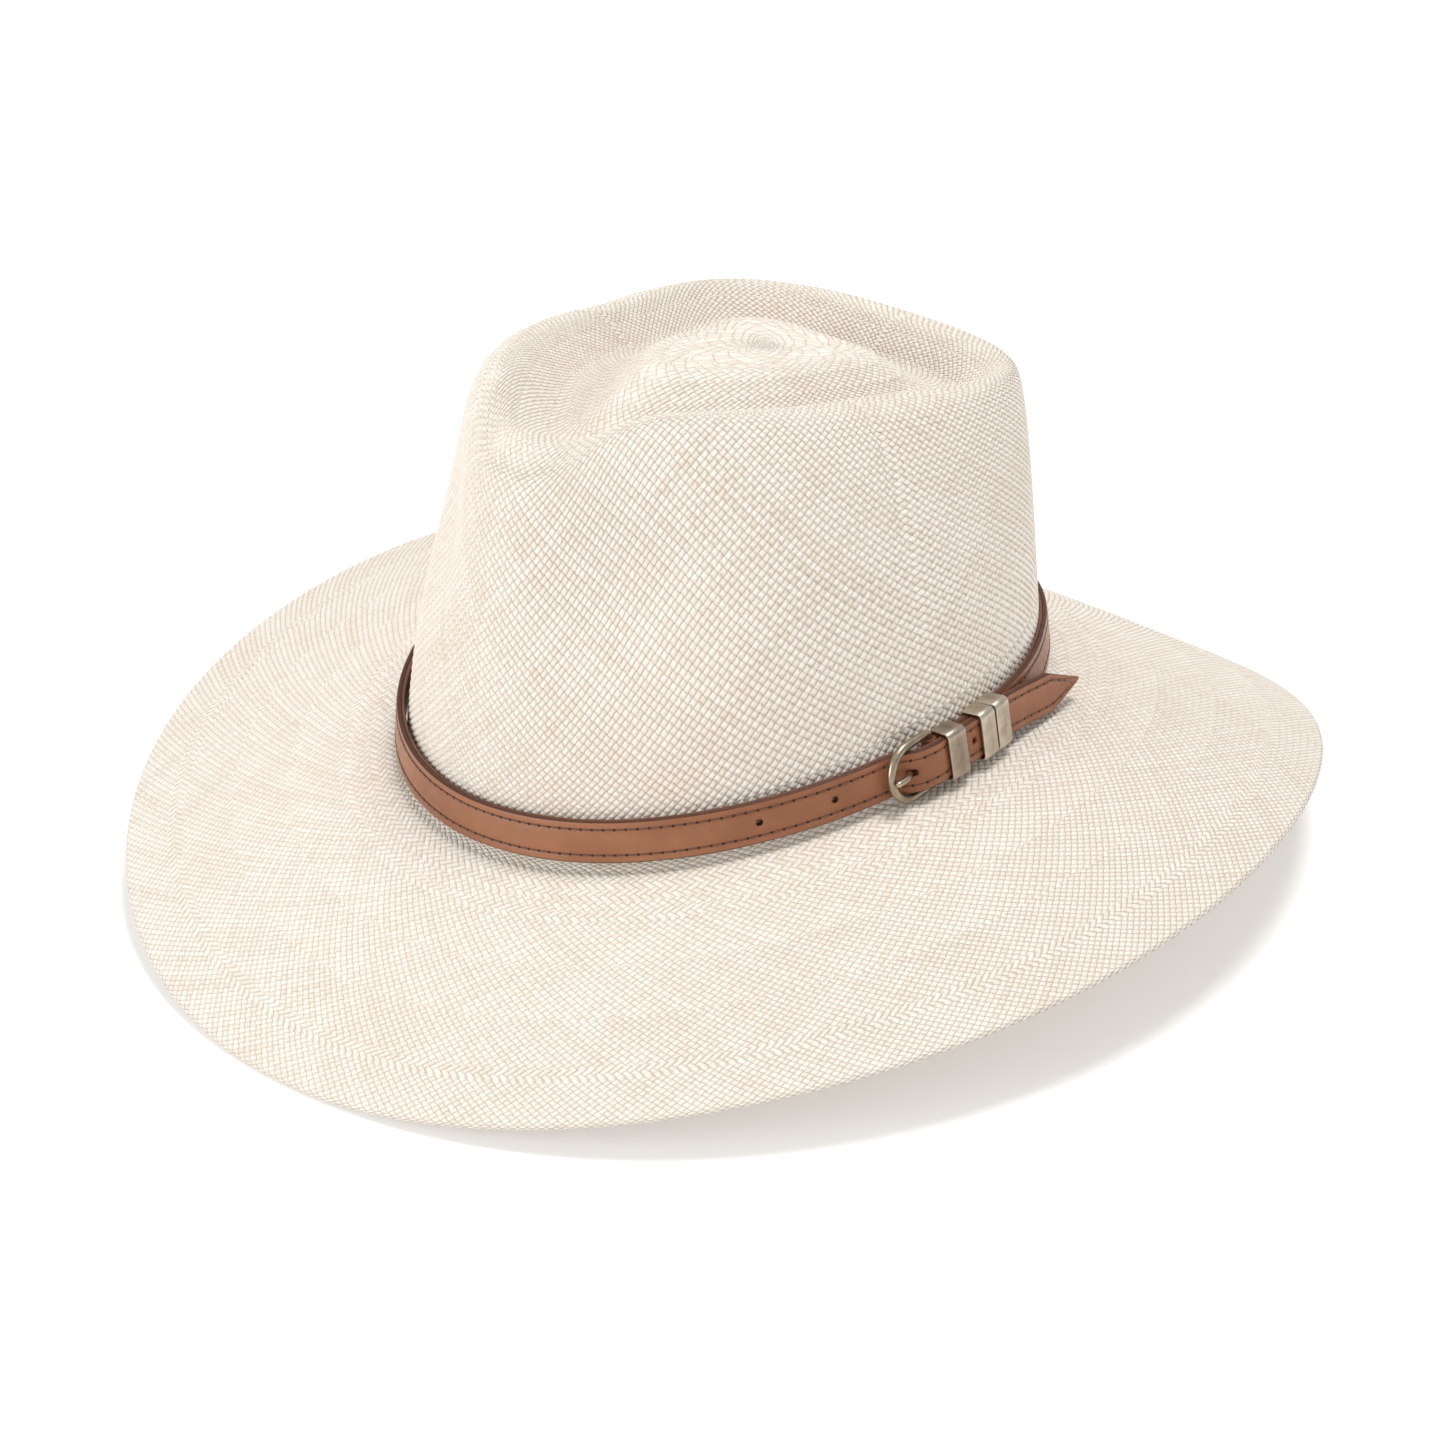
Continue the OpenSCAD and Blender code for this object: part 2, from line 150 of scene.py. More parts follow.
def straw_ring(phi, s):
    """One ring of the straw's outer face: s runs 0 to 1 up the brim, 2 at the crest, 3 in the middle."""
    if s < 1:
        p = brim_point(phi, 1 - s)
    elif s < 2:
        p = wall_point(phi, s - 1)
    else:
        p = tip_point(phi, 3 - s)
    x, y, z = [np.broadcast_to(v, phi.shape) for v in p]
    return np.stack([x, y, z], -1)


# -------- profile length against s
PROBE = np.linspace(0, TURN, 24, endpoint=False)
S_FINE = np.concatenate([
    np.linspace(0, 1, 300, endpoint=False),
    1 + (np.linspace(0, 1, 500, endpoint=False)) ** 2,
    np.linspace(2, 2.995, 300),
])
FINE = np.array([straw_ring(PROBE, s) for s in S_FINE])
STEP = np.linalg.norm(np.diff(FINE, axis=0), axis=2).mean(1)
LENGTH = np.concatenate([[0], np.cumsum(STEP)])
ROUND = np.linalg.norm(np.roll(FINE, -1, axis=1) - FINE, axis=2).sum(1)
FOOT_AT = float(np.interp(1.0, S_FINE, LENGTH))
CREST_AT = float(np.interp(2.0, S_FINE, LENGTH))
END_AT = float(LENGTH[-1])
FOOT_ROUND, FOOT_NEAR = 6.0, 8.0      # how far the foot is rounded, and over what length
CREST_ROUND, CREST_NEAR = 5.5, 7.0
EVEN = np.linspace(0, TURN, 721)


def even_angles(turn, length):
    """Angles that space a ring's points evenly: fully so on the tip, not at all at the crown's foot."""
    share = min(1.0, max(0.0, (length - FOOT_AT) / (CREST_AT - FOOT_AT)))
    share = share * share * (3 - 2 * share)
    if share == 0:
        return turn
    ring = straw_ring(EVEN, float(np.interp(length, LENGTH, S_FINE)))
    run = np.concatenate([[0], np.cumsum(np.linalg.norm(np.diff(ring, axis=0), axis=1))])
    even = np.interp(turn / TURN * run[-1], run, EVEN)
    return mix(turn, even, share)


def ring_at(turn, length):
    """Ring at a length along the profile, with the foot of the crown and its crest rounded."""
    phi = even_angles(turn, length)
    soft = FOOT_ROUND * math.exp(-((length - FOOT_AT) / FOOT_NEAR) ** 2)
    soft += CREST_ROUND * math.exp(-((length - CREST_AT) / CREST_NEAR) ** 2)
    if soft < 0.3:
        return straw_ring(phi, float(np.interp(length, LENGTH, S_FINE)))
    steps = np.arange(-4, 5)
    rings = [straw_ring(phi, float(np.interp(length + k * soft / 4, LENGTH, S_FINE))) for k in steps]
    return np.average(rings, axis=0, weights=np.exp(-(steps / 2.2) ** 2))


# -------- mesh making
def to_scene(points):
    """Form millimetres to scene metres."""
    return (np.asarray(points, float) + [0, HEAD_Y, REST_DROP]) * MM


def new_object(name, points, faces, uvs=None, values=None):
    """faces is a list of (n, 3) or (n, 4) index arrays; uvs maps a name to matching (n, k, 2) arrays."""
    mesh = bpy.data.meshes.new(name)
    points = np.asarray(points, np.float32)
    mesh.vertices.add(len(points))
    mesh.vertices.foreach_set("co", points.ravel())
    loops = np.concatenate([f.ravel() for f in faces])
    sizes = np.concatenate([np.full(len(f), f.shape[1]) for f in faces])
    starts = np.concatenate([[0], np.cumsum(sizes)[:-1]])
    mesh.loops.add(len(loops))
    mesh.loops.foreach_set("vertex_index", loops.astype(np.int32))
    mesh.polygons.add(len(sizes))
    mesh.polygons.foreach_set("loop_start", starts.astype(np.int32))
    for uv_name, parts in (uvs or {}).items():
        corners = np.concatenate([p.reshape(-1, 2) for p in parts])
        mesh.uv_layers.new(name=uv_name).data.foreach_set("uv", corners.astype(np.float32).ravel())
    for value_name, data in (values or {}).items():
        attribute = mesh.attributes.new(value_name, "FLOAT", "POINT")
        attribute.data.foreach_set("value", np.asarray(data, np.float32))
    mesh.update(calc_edges=True)
    mesh.polygons.foreach_set("use_smooth", np.full(len(sizes), True))
    mesh.validate()
    obj = bpy.data.objects.new(name, mesh)
    bpy.context.scene.collection.objects.link(obj)
    return obj


def turns(n):
    """Angles evenly round a circle."""
    return np.arange(n) * TURN / n


def around(n):
    """Indices round a ring of n points, and the next index of each."""
    c = np.arange(n)
    return c, (c + 1) % n


def ring_quads(low, high, n):
    """Quads between two rings of n points that start at these indices."""
    c, d = around(n)
    return np.stack([low + c, low + d, high + d, high + c], -1)


def tube_faces(rows, columns):
    """Quads over rows of points that wrap round their columns."""
    return np.concatenate([ring_quads(r * columns, (r + 1) * columns, columns) for r in range(rows - 1)])


def cap_faces(rows, columns):
    """Triangles that close a tube's ends, on two middle points that follow its rings."""
    c, d = around(columns)
    last = (rows - 1) * columns
    middle = np.full(columns, rows * columns)
    return [np.stack([d, c, middle], -1), np.stack([last + c, last + d, middle + 1], -1)]


def sweep(name, rings, closed_path=False, values=None):
    """A tube through rings of points, capped unless its path is closed."""
    rings = np.asarray(rings, float)
    rows, columns = rings.shape[:2]
    points = rings.reshape(-1, 3)
    faces = [tube_faces(rows, columns)]
    if closed_path:
        faces.append(ring_quads((rows - 1) * columns, 0, columns))
    else:
        points = np.concatenate([points, [rings[0].mean(0)], [rings[-1].mean(0)]])
        faces += cap_faces(rows, columns)
        if values:
            values = {k: np.concatenate([v, [v[0], v[-1]]]) for k, v in values.items()}
    return new_object(name, points, faces, values=values)


def turn_out(obj):
    """Makes a closed piece's faces point outwards."""
    bm = bmesh.new()
    bm.from_mesh(obj.data)
    bmesh.ops.recalc_face_normals(bm, faces=bm.faces)
    bm.to_mesh(obj.data)
    bm.free()
    return obj


def join(name, objects):
    """Joins pieces into one object."""
    bpy.ops.object.select_all(action="DESELECT")
    for o in objects:
        o.select_set(True)
    bpy.context.view_layer.objects.active = objects[0]
    bpy.ops.object.join()
    objects[0].name = name
    objects[0].data.name = name
    return objects[0]


# -------- node helpers
def srgb(*values):
    """0 to 255 display values as a linear colour."""
    linear = [(v / 255 / 12.92 if v / 255 <= 0.04045 else ((v / 255 + 0.055) / 1.055) ** 2.4) for v in values]
    return (*linear, 1.0)


class Graph:
    """A short way to write shader nodes."""

    def __init__(self, name):
        self.material = bpy.data.materials.new(name)
        self.material.use_nodes = True
        self.tree = self.material.node_tree
        self.bsdf = self.tree.nodes["Principled BSDF"]

    def put(self, socket, value):
        if isinstance(value, bpy.types.NodeSocket):
            self.tree.links.new(value, socket)
        elif value is not None:
            socket.default_value = value

    def node(self, kind, **props):
        n = self.tree.nodes.new(kind)
        for k, v in props.items():
            setattr(n, k, v)
        return n

    def fed(self, n, inputs):
        """A node's outputs, once these inputs, by index or name, are set or linked."""
        for key, value in inputs.items():
            self.put(n.inputs[key], value)
        return n.outputs

    def math(self, op, a, b=None):
        return self.fed(self.node("ShaderNodeMath", operation=op), {0: a, 1: b})[0]

    def plus(self, a, b):
        return self.math("ADD", a, b)

    def minus(self, a, b):
        return self.math("SUBTRACT", a, b)

    def times(self, a, b):
        return self.math("MULTIPLY", a, b)

    def ramp(self, x, low, high, to_low=0.0, to_high=1.0):
        n = self.node("ShaderNodeMapRange", interpolation_type="SMOOTHSTEP")
        return self.fed(n, {0: x, 1: low, 2: high, 3: to_low, 4: to_high})[0]

    def mix(self, factor, a, b):
        return self.fed(self.node("ShaderNodeMix", data_type="FLOAT"), {0: factor, 2: a, 3: b})[0]

    def blend(self, factor, a, b):
        return self.fed(self.node("ShaderNodeMix", data_type="RGBA"), {0: factor, 6: a, 7: b})[2]

    def vector(self, x, y, z):
        return self.fed(self.node("ShaderNodeCombineXYZ"), {0: x, 1: y, 2: z})[0]

    def split(self, v):
        return self.fed(self.node("ShaderNodeSeparateXYZ"), {0: v})

    def white(self, v):
        return self.fed(self.node("ShaderNodeTexWhiteNoise"), {"Vector": v})["Value"]

    def noise(self, v, scale, detail=2.0, rough=0.5):
        settings = {"Vector": v, "Scale": scale, "Detail": detail, "Roughness": rough}
        return self.fed(self.node("ShaderNodeTexNoise"), settings)["Fac"]

    def voronoi(self, v, scale):
        return self.fed(self.node("ShaderNodeTexVoronoi"), {"Vector": v, "Scale": scale})["Distance"]

    def place(self):
        return self.node("ShaderNodeTexCoord").outputs["Object"]

    def uv(self, name):
        return self.node("ShaderNodeUVMap", uv_map=name).outputs[0]

    def value(self, name):
        return self.node("ShaderNodeAttribute", attribute_name=name).outputs["Fac"]

    def bump(self, height, distance, strength):
        settings = {"Height": height, "Distance": distance, "Strength": strength}
        return self.fed(self.node("ShaderNodeBump"), settings)[0]

    def finish(self, color, roughness, normal=None, **fixed):
        self.fed(self.bsdf, {"Base Color": color, "Roughness": roughness, "Normal": normal})
        self.fed(self.bsdf, {k.replace("_", " "): v for k, v in fixed.items()})
        return self.material


# -------- materials
def straw_material(name, relief):
    """Toquilla straw, from weave coordinates: strands run along u + v and u - v."""
    g = Graph(name)
    u, v, _ = g.split(g.uv("weave"))
    a = g.plus(u, v)
    b = g.minus(u, v)
    ia, ib = g.math("FLOOR", a), g.math("FLOOR", b)
    fa, fb = g.minus(a, ia), g.minus(b, ib)
    plain = g.math("LESS_THAN", g.math("FLOORED_MODULO", g.plus(ia, ib), 2.0), 0.5)
    twill = g.math("LESS_THAN", g.math("FLOORED_MODULO", g.minus(ia, ib), 4.0), 1.5)
    is_twill = g.math("GREATER_THAN", g.value("twill"), 0.5)
    over = g.mix(is_twill, plain, twill)
    strand = g.mix(over, ib, ia)
    cross = g.mix(over, fb, fa)
    along = g.mix(over, a, b)
    end = g.mix(over, fa, fb)

    # Tint of each strand, and of each stretch of it
    tint = g.white(g.vector(strand, over, 3.0))
    stretch = g.white(g.vector(strand, g.math("FLOOR", g.math("DIVIDE", along, 9.0)), over))
    fibre = g.noise(g.vector(g.times(cross, 9.0), g.times(along, 0.8), strand), 1.0, 3.0)
    cloud = g.noise(g.place(), 14.0, 2.0)
    color = g.blend(g.ramp(tint, 0.0, 1.0), srgb(244, 233, 219), srgb(252, 244, 235))
    color = g.blend(g.times(g.ramp(stretch, 0.86, 0.92), 0.30), color, srgb(228, 210, 184))
    color = g.blend(g.times(g.ramp(tint, 0.94, 0.97), 0.35), color, srgb(220, 196, 160))
    color = g.blend(g.ramp(fibre, 0.35, 0.75, 0.0, 0.22), color, srgb(228, 213, 192))
    color = g.blend(g.ramp(cloud, 0.3, 0.7, 0.0, 0.22), color, srgb(242, 230, 214))

    # Rounded strand that dives under its neighbours; painted shade darkens the gaps along each strand's sides
    # and, darker still, the pinhole at each corner
    side = g.math("ABSOLUTE", g.minus(g.times(cross, 2.0), 1.0))
    dive = g.math("ABSOLUTE", g.minus(g.times(end, 2.0), 1.0))
    rounded = g.minus(1.0, g.math("POWER", side, 3.0))
    arch = g.minus(1.0, g.times(g.math("POWER", dive, 2.5), 0.5))
    height = g.times(rounded, arch)
    strand_gap_shade = g.ramp(side, 0.80, 1.0)
    pinhole_shade = g.times(strand_gap_shade, g.ramp(dive, 0.72, 1.0))
    # painted shade: darker along the strand sides where shade falls between strands, darkest in the corner
    # pinholes
    color = g.blend(g.times(strand_gap_shade, 0.34), color, srgb(198, 166, 130))
    color = g.blend(g.times(pinhole_shade, 0.78), color, srgb(136, 100, 70))
    fine = g.plus(height, g.times(fibre, 0.22))
    normal = g.bump(fine, relief, 0.85)
    rough = g.ramp(fibre, 0.2, 0.8, 0.44, 0.62)
    return g.finish(color, rough, normal, Specular_IOR_Level=0.35, Sheen_Weight=0.12, Sheen_Roughness=0.5)


def leather_material(name, dark, mid, light, edge=None):
    """Smooth leather: mottled colour, fine pores and creases, painted edges where 'edge' is 1."""
    g = Graph(name)
    p = g.place()
    mottle = g.noise(p, 55.0, 4.0, 0.6)
    broad = g.noise(p, 16.0, 2.0)
    pores = g.voronoi(p, 1500.0)
    crease = g.noise(p, 420.0, 5.0, 0.65)
    color = g.blend(g.ramp(mottle, 0.3, 0.7), srgb(*dark), srgb(*mid))
    color = g.blend(g.ramp(broad, 0.4, 0.75, 0.0, 0.5), color, srgb(*light))
    color = g.blend(g.ramp(crease, 0.55, 0.8, 0.0, 0.25), color, srgb(*dark))
    if edge:
        uneven = g.times(g.minus(mottle, 0.5), 0.5)
        color = g.blend(g.ramp(g.plus(g.value("edge"), uneven), 0.35, 0.7), color, srgb(*edge))
    height = g.plus(g.times(pores, 0.6), g.times(crease, 0.8))
    normal = g.bump(height, 0.00018, 0.55)
    rough = g.ramp(crease, 0.3, 0.8, 0.30, 0.50)
    return g.finish(color, rough, normal, Specular_IOR_Level=0.32)


def metal_material(name, dark, mid, light, rough_low, rough_high, grain):
    """Antique metal: dark in the low spots; lighter on convex edges, partly rubbed wear and partly a painted
    highlight; lightly brushed.
    """
    g = Graph(name)
    p = g.place()
    x, y, z = g.split(p)
    blotch = g.noise(p, 260.0, 4.0, 0.6)
    small = g.noise(p, 1500.0, 3.0, 0.6)
    brushed = g.noise(g.vector(g.times(x, 0.3), y, g.times(z, 0.15)), grain, 2.0)
    high = g.ramp(g.node("ShaderNodeNewGeometry").outputs["Pointiness"], 0.49, 0.56)
    color = g.blend(g.ramp(blotch, 0.35, 0.68), srgb(*dark), srgb(*mid))
    # partly rubbed wear, partly painted highlight: colour lighter where Pointiness marks convex edges
    color = g.blend(g.times(high, 0.7), color, srgb(*light))
    color = g.blend(g.ramp(small, 0.58, 0.72, 0.0, 0.35), color, srgb(*dark))
    rough = g.plus(g.ramp(blotch, 0.3, 0.7, rough_high, rough_low), g.times(brushed, 0.08))
    normal = g.bump(g.plus(brushed, g.times(small, 0.5)), 0.00006, 0.6)
    return g.finish(color, rough, normal, Metallic=1.0)


TWIST = 2600.0                      # how fine the thread's fuzz is, a quarter of its twist


def thread_material(name, dark, light):
    """Twisted thread."""
    g = Graph(name)
    p = g.place()
    x, y, z = g.split(p)
    wave = g.math("SINE", g.times(g.plus(g.plus(x, y), z), TWIST * 4))
    fuzz = g.noise(p, TWIST)
    color = g.blend(g.ramp(wave, -1.0, 1.0), srgb(*dark), srgb(*light))
    color = g.blend(g.ramp(fuzz, 0.4, 0.8, 0.0, 0.4), color, srgb(*dark))
    normal = g.bump(g.plus(wave, fuzz), 0.00008, 0.7)
    return g.finish(color, g.ramp(fuzz, 0.2, 0.8, 0.6, 0.8), normal, Sheen_Weight=0.2)


def cloth_material(name, dark, light, pitch, slant):
    """Woven ribbon or twill: fine ribs, slanted or upright, with thread noise."""
    g = Graph(name)
    p = g.place()
    x, y, z = g.split(p)
    angle = g.math("ARCTAN2", x, g.minus(y, HEAD_Y * MM))
    across = g.plus(g.times(angle, 0.09), g.times(z, slant))
    rib = g.math("SINE", g.times(across, TURN / pitch))
    cord = g.math("SINE", g.times(z, TURN / (pitch * 0.8)))
    fuzz = g.noise(p, 1800.0, 3.0)
    cloud = g.noise(p, 30.0, 2.0)
    color = g.blend(g.ramp(rib, -1.0, 1.0), srgb(*dark), srgb(*light))
    color = g.blend(g.ramp(cloud, 0.3, 0.7, 0.0, 0.3), color, srgb(*dark))
    height = g.plus(g.plus(rib, g.times(cord, 0.5)), fuzz)
    normal = g.bump(height, 0.00012, 0.6)
    rough = g.ramp(fuzz, 0.2, 0.8, 0.75, 0.92)
    return g.finish(color, rough, normal, Sheen_Weight=0.25, Specular_IOR_Level=0.2)


STRAW_OUT = straw_material("straw_woven", 0.0006)
STRAW_IN = straw_material("straw_woven_inside", 0.0009)
LEATHER = leather_material("leather_tan", (140, 88, 58), (157, 102, 70), (176, 123, 92), edge=(78, 45, 30))
LEATHER_BACK = leather_material("leather_split", (96, 58, 38), (120, 76, 52), (138, 92, 66))
BRASS = metal_material("brass_antique", (88, 72, 58), (146, 128, 106), (226, 212, 190), 0.22, 0.40, 900.0)
# two copies of one keeper metal: the first is painted darker to stand in for a dark reflection, the second is
# the lit copy
KEEPER_PAINTED_DARK = metal_material("keeper_antique_painted_dark_reflection", (80, 66, 58), (122, 106, 94), (216, 202, 184),
                             0.24, 0.40, 1400.0)
KEEPER_LIT = metal_material("keeper_antique_lit_copy", (128, 116, 100), (170, 159, 142), (230, 220, 202),
                             0.26, 0.42, 1400.0)
THREAD_BROWN = thread_material("thread_brown", (100, 58, 36), (134, 84, 54))
# near-black colours for the painted shade in the stitch pits
STITCH_PIT_SHADE = thread_material("stitch_pit_painted_shade", (34, 18, 12), (46, 26, 18))
THREAD_PALE = thread_material("thread_pale", (214, 202, 180), (240, 232, 216))
SWEAT_CLOTH = cloth_material("sweatband_twill", (186, 160, 122), (208, 186, 150), 0.0009, 1.0)
PIPING = cloth_material("piping_cloth", (160, 132, 94), (184, 156, 116), 0.0007, 1.6)
RIBBON = cloth_material("bow_grosgrain", (158, 130, 92), (188, 160, 120), 0.0008, 0.0)


# -------- straw body
# Each zone: where it ends along the profile (mm from the brim's edge), cells round, herringbone
ZONES = [
    (14.0, 416, 0), (17.5, 416, 1), (34.0, 376, 0), (52.0, 328, 0), (68.0, 280, 0),
    (72.0, 256, 1), (76.0, 240, 0), (FOOT_AT - 3, 224, 1), (FOOT_AT + 12, 196, 0),
    (FOOT_AT + 19, 196, 1), (CREST_AT - 2, 196, 0), (CREST_AT + 8, 192, 0), (CREST_AT + 18, 168, 0),
    (CREST_AT + 28, 144, 0), (CREST_AT + 37, 112, 0), (CREST_AT + 45, 84, 0),
    (CREST_AT + 52, 56, 0), (CREST_AT + 58, 32, 0), (END_AT - 2.6, 16, 0), (END_AT - 0.9, 8, 0),
]
PER_CELL = 4                        # mesh points across a cell
CELL_SHAPE = 0.86                   # a cell's height against its width
ZONE_SHIFT = 40.0                   # keeps the zones' strands apart in the weave map
RELIEF_WALL, RELIEF_BRIM = 0.55, 0.26
EDGE_R = STRAW / 2
GAP = 0.6                           # mm along the profile from a ring to the ones that give its normals


def weave_height(u, v, twill):
    """Relief of the weave, 0 in the gaps and 1 on top of a strand."""
    a, b = u + v, u - v
    ia, ib = np.floor(a + 1e-6), np.floor(b + 1e-6)
    fa, fb = a - ia, b - ib
    plain = (ia + ib) % 2 < 0.5
    herring = (ia - ib) % 4 < 1.5
    over = herring if twill else plain
    cross = np.where(over, fa, fb)
    end = np.where(over, fb, fa)
    rounded = 1 - np.abs(2 * cross - 1) ** 3
    return rounded * (1 - 0.5 * np.abs(2 * end - 1) ** 2.5)


def straw_rows(per_cell):
    """Rows of the woven face: (length, cells, v, twill, zone) from the edge to the middle."""
    rows = []
    at = 0.0
    for zone, (until, cells, twill) in enumerate(ZONES):
        v = 0.0
        while at < until:
            rows.append((at, cells, v, twill, zone))
            at += CELL_SHAPE * float(np.interp(at, LENGTH, ROUND)) / cells / per_cell
            v += 1 / per_cell
    return rows


def stitch_rings(lower, upper, n_low, n_up):
    """Triangles between rings with different numbers of points: their corners, which of them are on
    the lower ring, and how far round they are, 0 to 1."""
    faces = []
    i = j = 0
    while i < n_low or j < n_up:
        if j >= n_up or (i < n_low and (i + 1) / n_low <= (j + 1) / n_up):
            faces.append((lower + i % n_low, lower + (i + 1) % n_low, upper + j % n_up))
            i += 1
        else:
            faces.append((lower + i % n_low, upper + (j + 1) % n_up, upper + j % n_up))
            j += 1
    tris = np.array(faces)
    on_lower = (tris >= lower) & (tris < lower + n_low)
    turn = np.where(on_lower, (tris - lower) / n_low, (tris - upper) / n_up)
    return tris, on_lower, turn + (turn.max(1, keepdims=True) - turn > 0.5)


def ring_normals(before, here, after):
    """Normals of a ring from its neighbours along the profile and round it."""
    along = np.roll(here, -1, axis=0) - np.roll(here, 1, axis=0)
    n = np.cross(along, after - before)
    return n / np.maximum(np.linalg.norm(n, axis=1, keepdims=True), 1e-9)


def quad_band(low, high, n, v, y):
    """Quads between two equal rings, with the turn and the two maps' heights at their corners."""
    turn = (np.arange(n)[:, None] + [0, 1, 1, 0]) / n
    return ring_quads(low, high, n), turn, *[np.tile([a, a, b, b], (n, 1)) for a, b in (v, y)]


def straw_surface(per_cell, depth, relief):
    """Points, faces and weave map of one face of the straw; depth moves it inwards."""
    rows = straw_rows(per_cell)
    points, faces, weave, flat, twills, starts = [], [], [], [], [], []
    count = 0
    for at, cells, v, twill, _ in rows:
        n = cells * per_cell
        phi = turns(n)
        here = ring_at(phi, at)
        if at < GAP:
            normal = ring_normals(here, here, ring_at(phi, GAP))
        else:
            normal = ring_normals(ring_at(phi, at - GAP), here, ring_at(phi, min(END_AT, at + GAP)))
        tall = mix(RELIEF_BRIM, RELIEF_WALL, min(1.0, max(0.0, (at - FOOT_AT) / 10)))
        tall *= 1 - 0.45 * min(1.0, max(0.0, (at - CREST_AT) / 30))
        tall *= min(1.0, (END_AT - at) / 10)
        lift = tall * (weave_height(np.arange(n) / per_cell, v, twill) - 0.6) if relief else np.zeros(n)
        points.append(here + normal * (lift - depth)[:, None])
        twills.append(np.full(n, float(twill)))
        starts.append(count)
        count += n
    for k in range(len(rows) - 1):
        (at, cells, v, _, zone), (at2, cells2, *_) = rows[k], rows[k + 1]
        n, n2 = cells * per_cell, cells2 * per_cell
        v0 = v + ZONE_SHIFT * zone
        v1 = v0 + 1 / per_cell
        y0, y1 = at / (END_AT + 1), at2 / (END_AT + 1)
        if n == n2:
            quads, turn, vv, yy = quad_band(starts[k], starts[k + 1], n, (v0, v1), (y0, y1))
            faces.append(quads)
        else:
            tris, on_lower, turn = stitch_rings(starts[k], starts[k + 1], n, n2)
            faces.append(tris)
            vv, yy = np.where(on_lower, v0, v1), np.where(on_lower, y0, y1)
        weave.append(np.stack([turn * cells, vv], -1))
        flat.append(np.stack([turn, yy], -1))
    # The middle
    at, cells, v, _, zone = rows[-1]
    v += ZONE_SHIFT * zone
    n = cells * per_cell
    c, d = around(n)
    points.append(points[-1].mean(0, keepdims=True))
    twills.append(np.zeros(1))
    faces.append(np.stack([starts[-1] + c, starts[-1] + d, np.full(n, count)], -1))
    turn = np.stack([c, c + 1, c + 0.5], -1) / n
    y0 = at / (END_AT + 1)
    weave.append(np.stack([turn * cells, np.tile([v, v, v + 0.5], (n, 1))], -1))
    flat.append(np.stack([turn, np.tile([y0, y0, 1.0], (n, 1))], -1))
    return points, faces, weave, flat, twills


def make_straw():
    """The whole straw body: woven outer face, inner face and rolled edge between them."""
    outer = straw_surface(PER_CELL, 0.0, True)
    inner = straw_surface(2, STRAW, False)
    points, faces, weave, flat, twills = [list(part) for part in outer]
    flat = [f * [1.0, 0.5] for f in flat]
    n_outer = sum(len(p) for p in points)
    points += inner[0]
    faces += [f[:, ::-1] + n_outer for f in inner[1]]
    weave += [w[:, ::-1] for w in inner[2]]
    flat += [f[:, ::-1] * [1.0, 0.47] + [0.0, 0.53] for f in inner[3]]
    twills += inner[4]
    count = n_outer + sum(len(p) for p in inner[0])

    # Rolled edge: rings from the outer face's first ring round to the inner one's
    cells = ZONES[0][1]
    n = cells * PER_CELL
    phi = turns(n)
    top = ring_at(phi, 0.0)
    behind = ring_at(phi, GAP)
    normal = ring_normals(top, top, behind)
    out = top - behind
    out /= np.linalg.norm(out, axis=1, keepdims=True)
    steps = 7
    start = 0
    for k in range(1, steps):
        t = math.pi * k / steps
        notch = 1 + 0.10 * np.sin(TURN * np.arange(n) / PER_CELL + 2.0 * k)
        r = EDGE_R * notch[:, None]
        ring = top - normal * EDGE_R + normal * r * math.cos(t) + out * r * 1.25 * math.sin(t)
        points.append(ring)
        twills.append(np.zeros(n))
        high = [0.502 + 0.024 * j / steps for j in (k, k - 1)]
        quads, turn, vv, yy = quad_band(count, start, n, (-k / 3, -(k - 1) / 3), high)
        faces.append(quads)
        weave.append(np.stack([turn * cells, vv], -1))
        flat.append(np.stack([turn, yy], -1))
        start = count
        count += n
    tris, on_inner, turn = stitch_rings(n_outer, start, cells * 2, n)
    faces.append(tris)
    weave.append(np.stack([turn * cells, np.where(on_inner, -2.3, -2.0)], -1))
    flat.append(np.stack([turn, np.where(on_inner, 0.529, 0.527)], -1))

    obj = new_object("straw_weave", to_scene(np.concatenate(points)), faces,
                     uvs={"weave": weave, "OFBake": flat}, values={"twill": np.concatenate(twills)})
    obj.data.materials.append(STRAW_OUT)
    obj.data.materials.append(STRAW_IN)
    first = sum(len(f) for f in outer[1])
    index = np.zeros(len(obj.data.polygons), np.int32)
    index[first:first + sum(len(f) for f in inner[1])] = 1
    obj.data.polygons.foreach_set("material_index", index)
    return obj


straw = make_straw()
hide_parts("straw_body")
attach(straw, "hat")

# -------- hatband route (mm along the strap)
STRAP_H = 12.6
FACE, BACKING = 1.5, 0.9
STRAP_T = FACE + BACKING
BAR_ANGLE, MM_PER_DEGREE = 86.0, 1.775
TURN_S = 360 * MM_PER_DEGREE
CORNER_AT, POINT_AT, START_AT = 51.0, 65.0, 5.0
LOWER_OUT, BILLET_OVER, BAR_OUT = 1.9, 4.8, 3.0
LOWER_LAY = ([0, 45, 75], [LOWER_OUT, LOWER_OUT, 0.6])
BILLET_LAY = (
    [-50, -16, -14, -13, -7.5, -4, 0, 1.4, 3, 32, 40, CORNER_AT, POINT_AT],
    [0.6, 0.6, 0.7, 1.0, 5.0, 5.5, 5.6, BILLET_OVER + 0.5, BILLET_OVER, BILLET_OVER, BILLET_OVER + 0.6,
     BILLET_OVER + 2.8, BILLET_OVER + 6.8],
)
HOLES_AT = [-56.0, -33.0, 13.5]
HOLE_D = 2.2
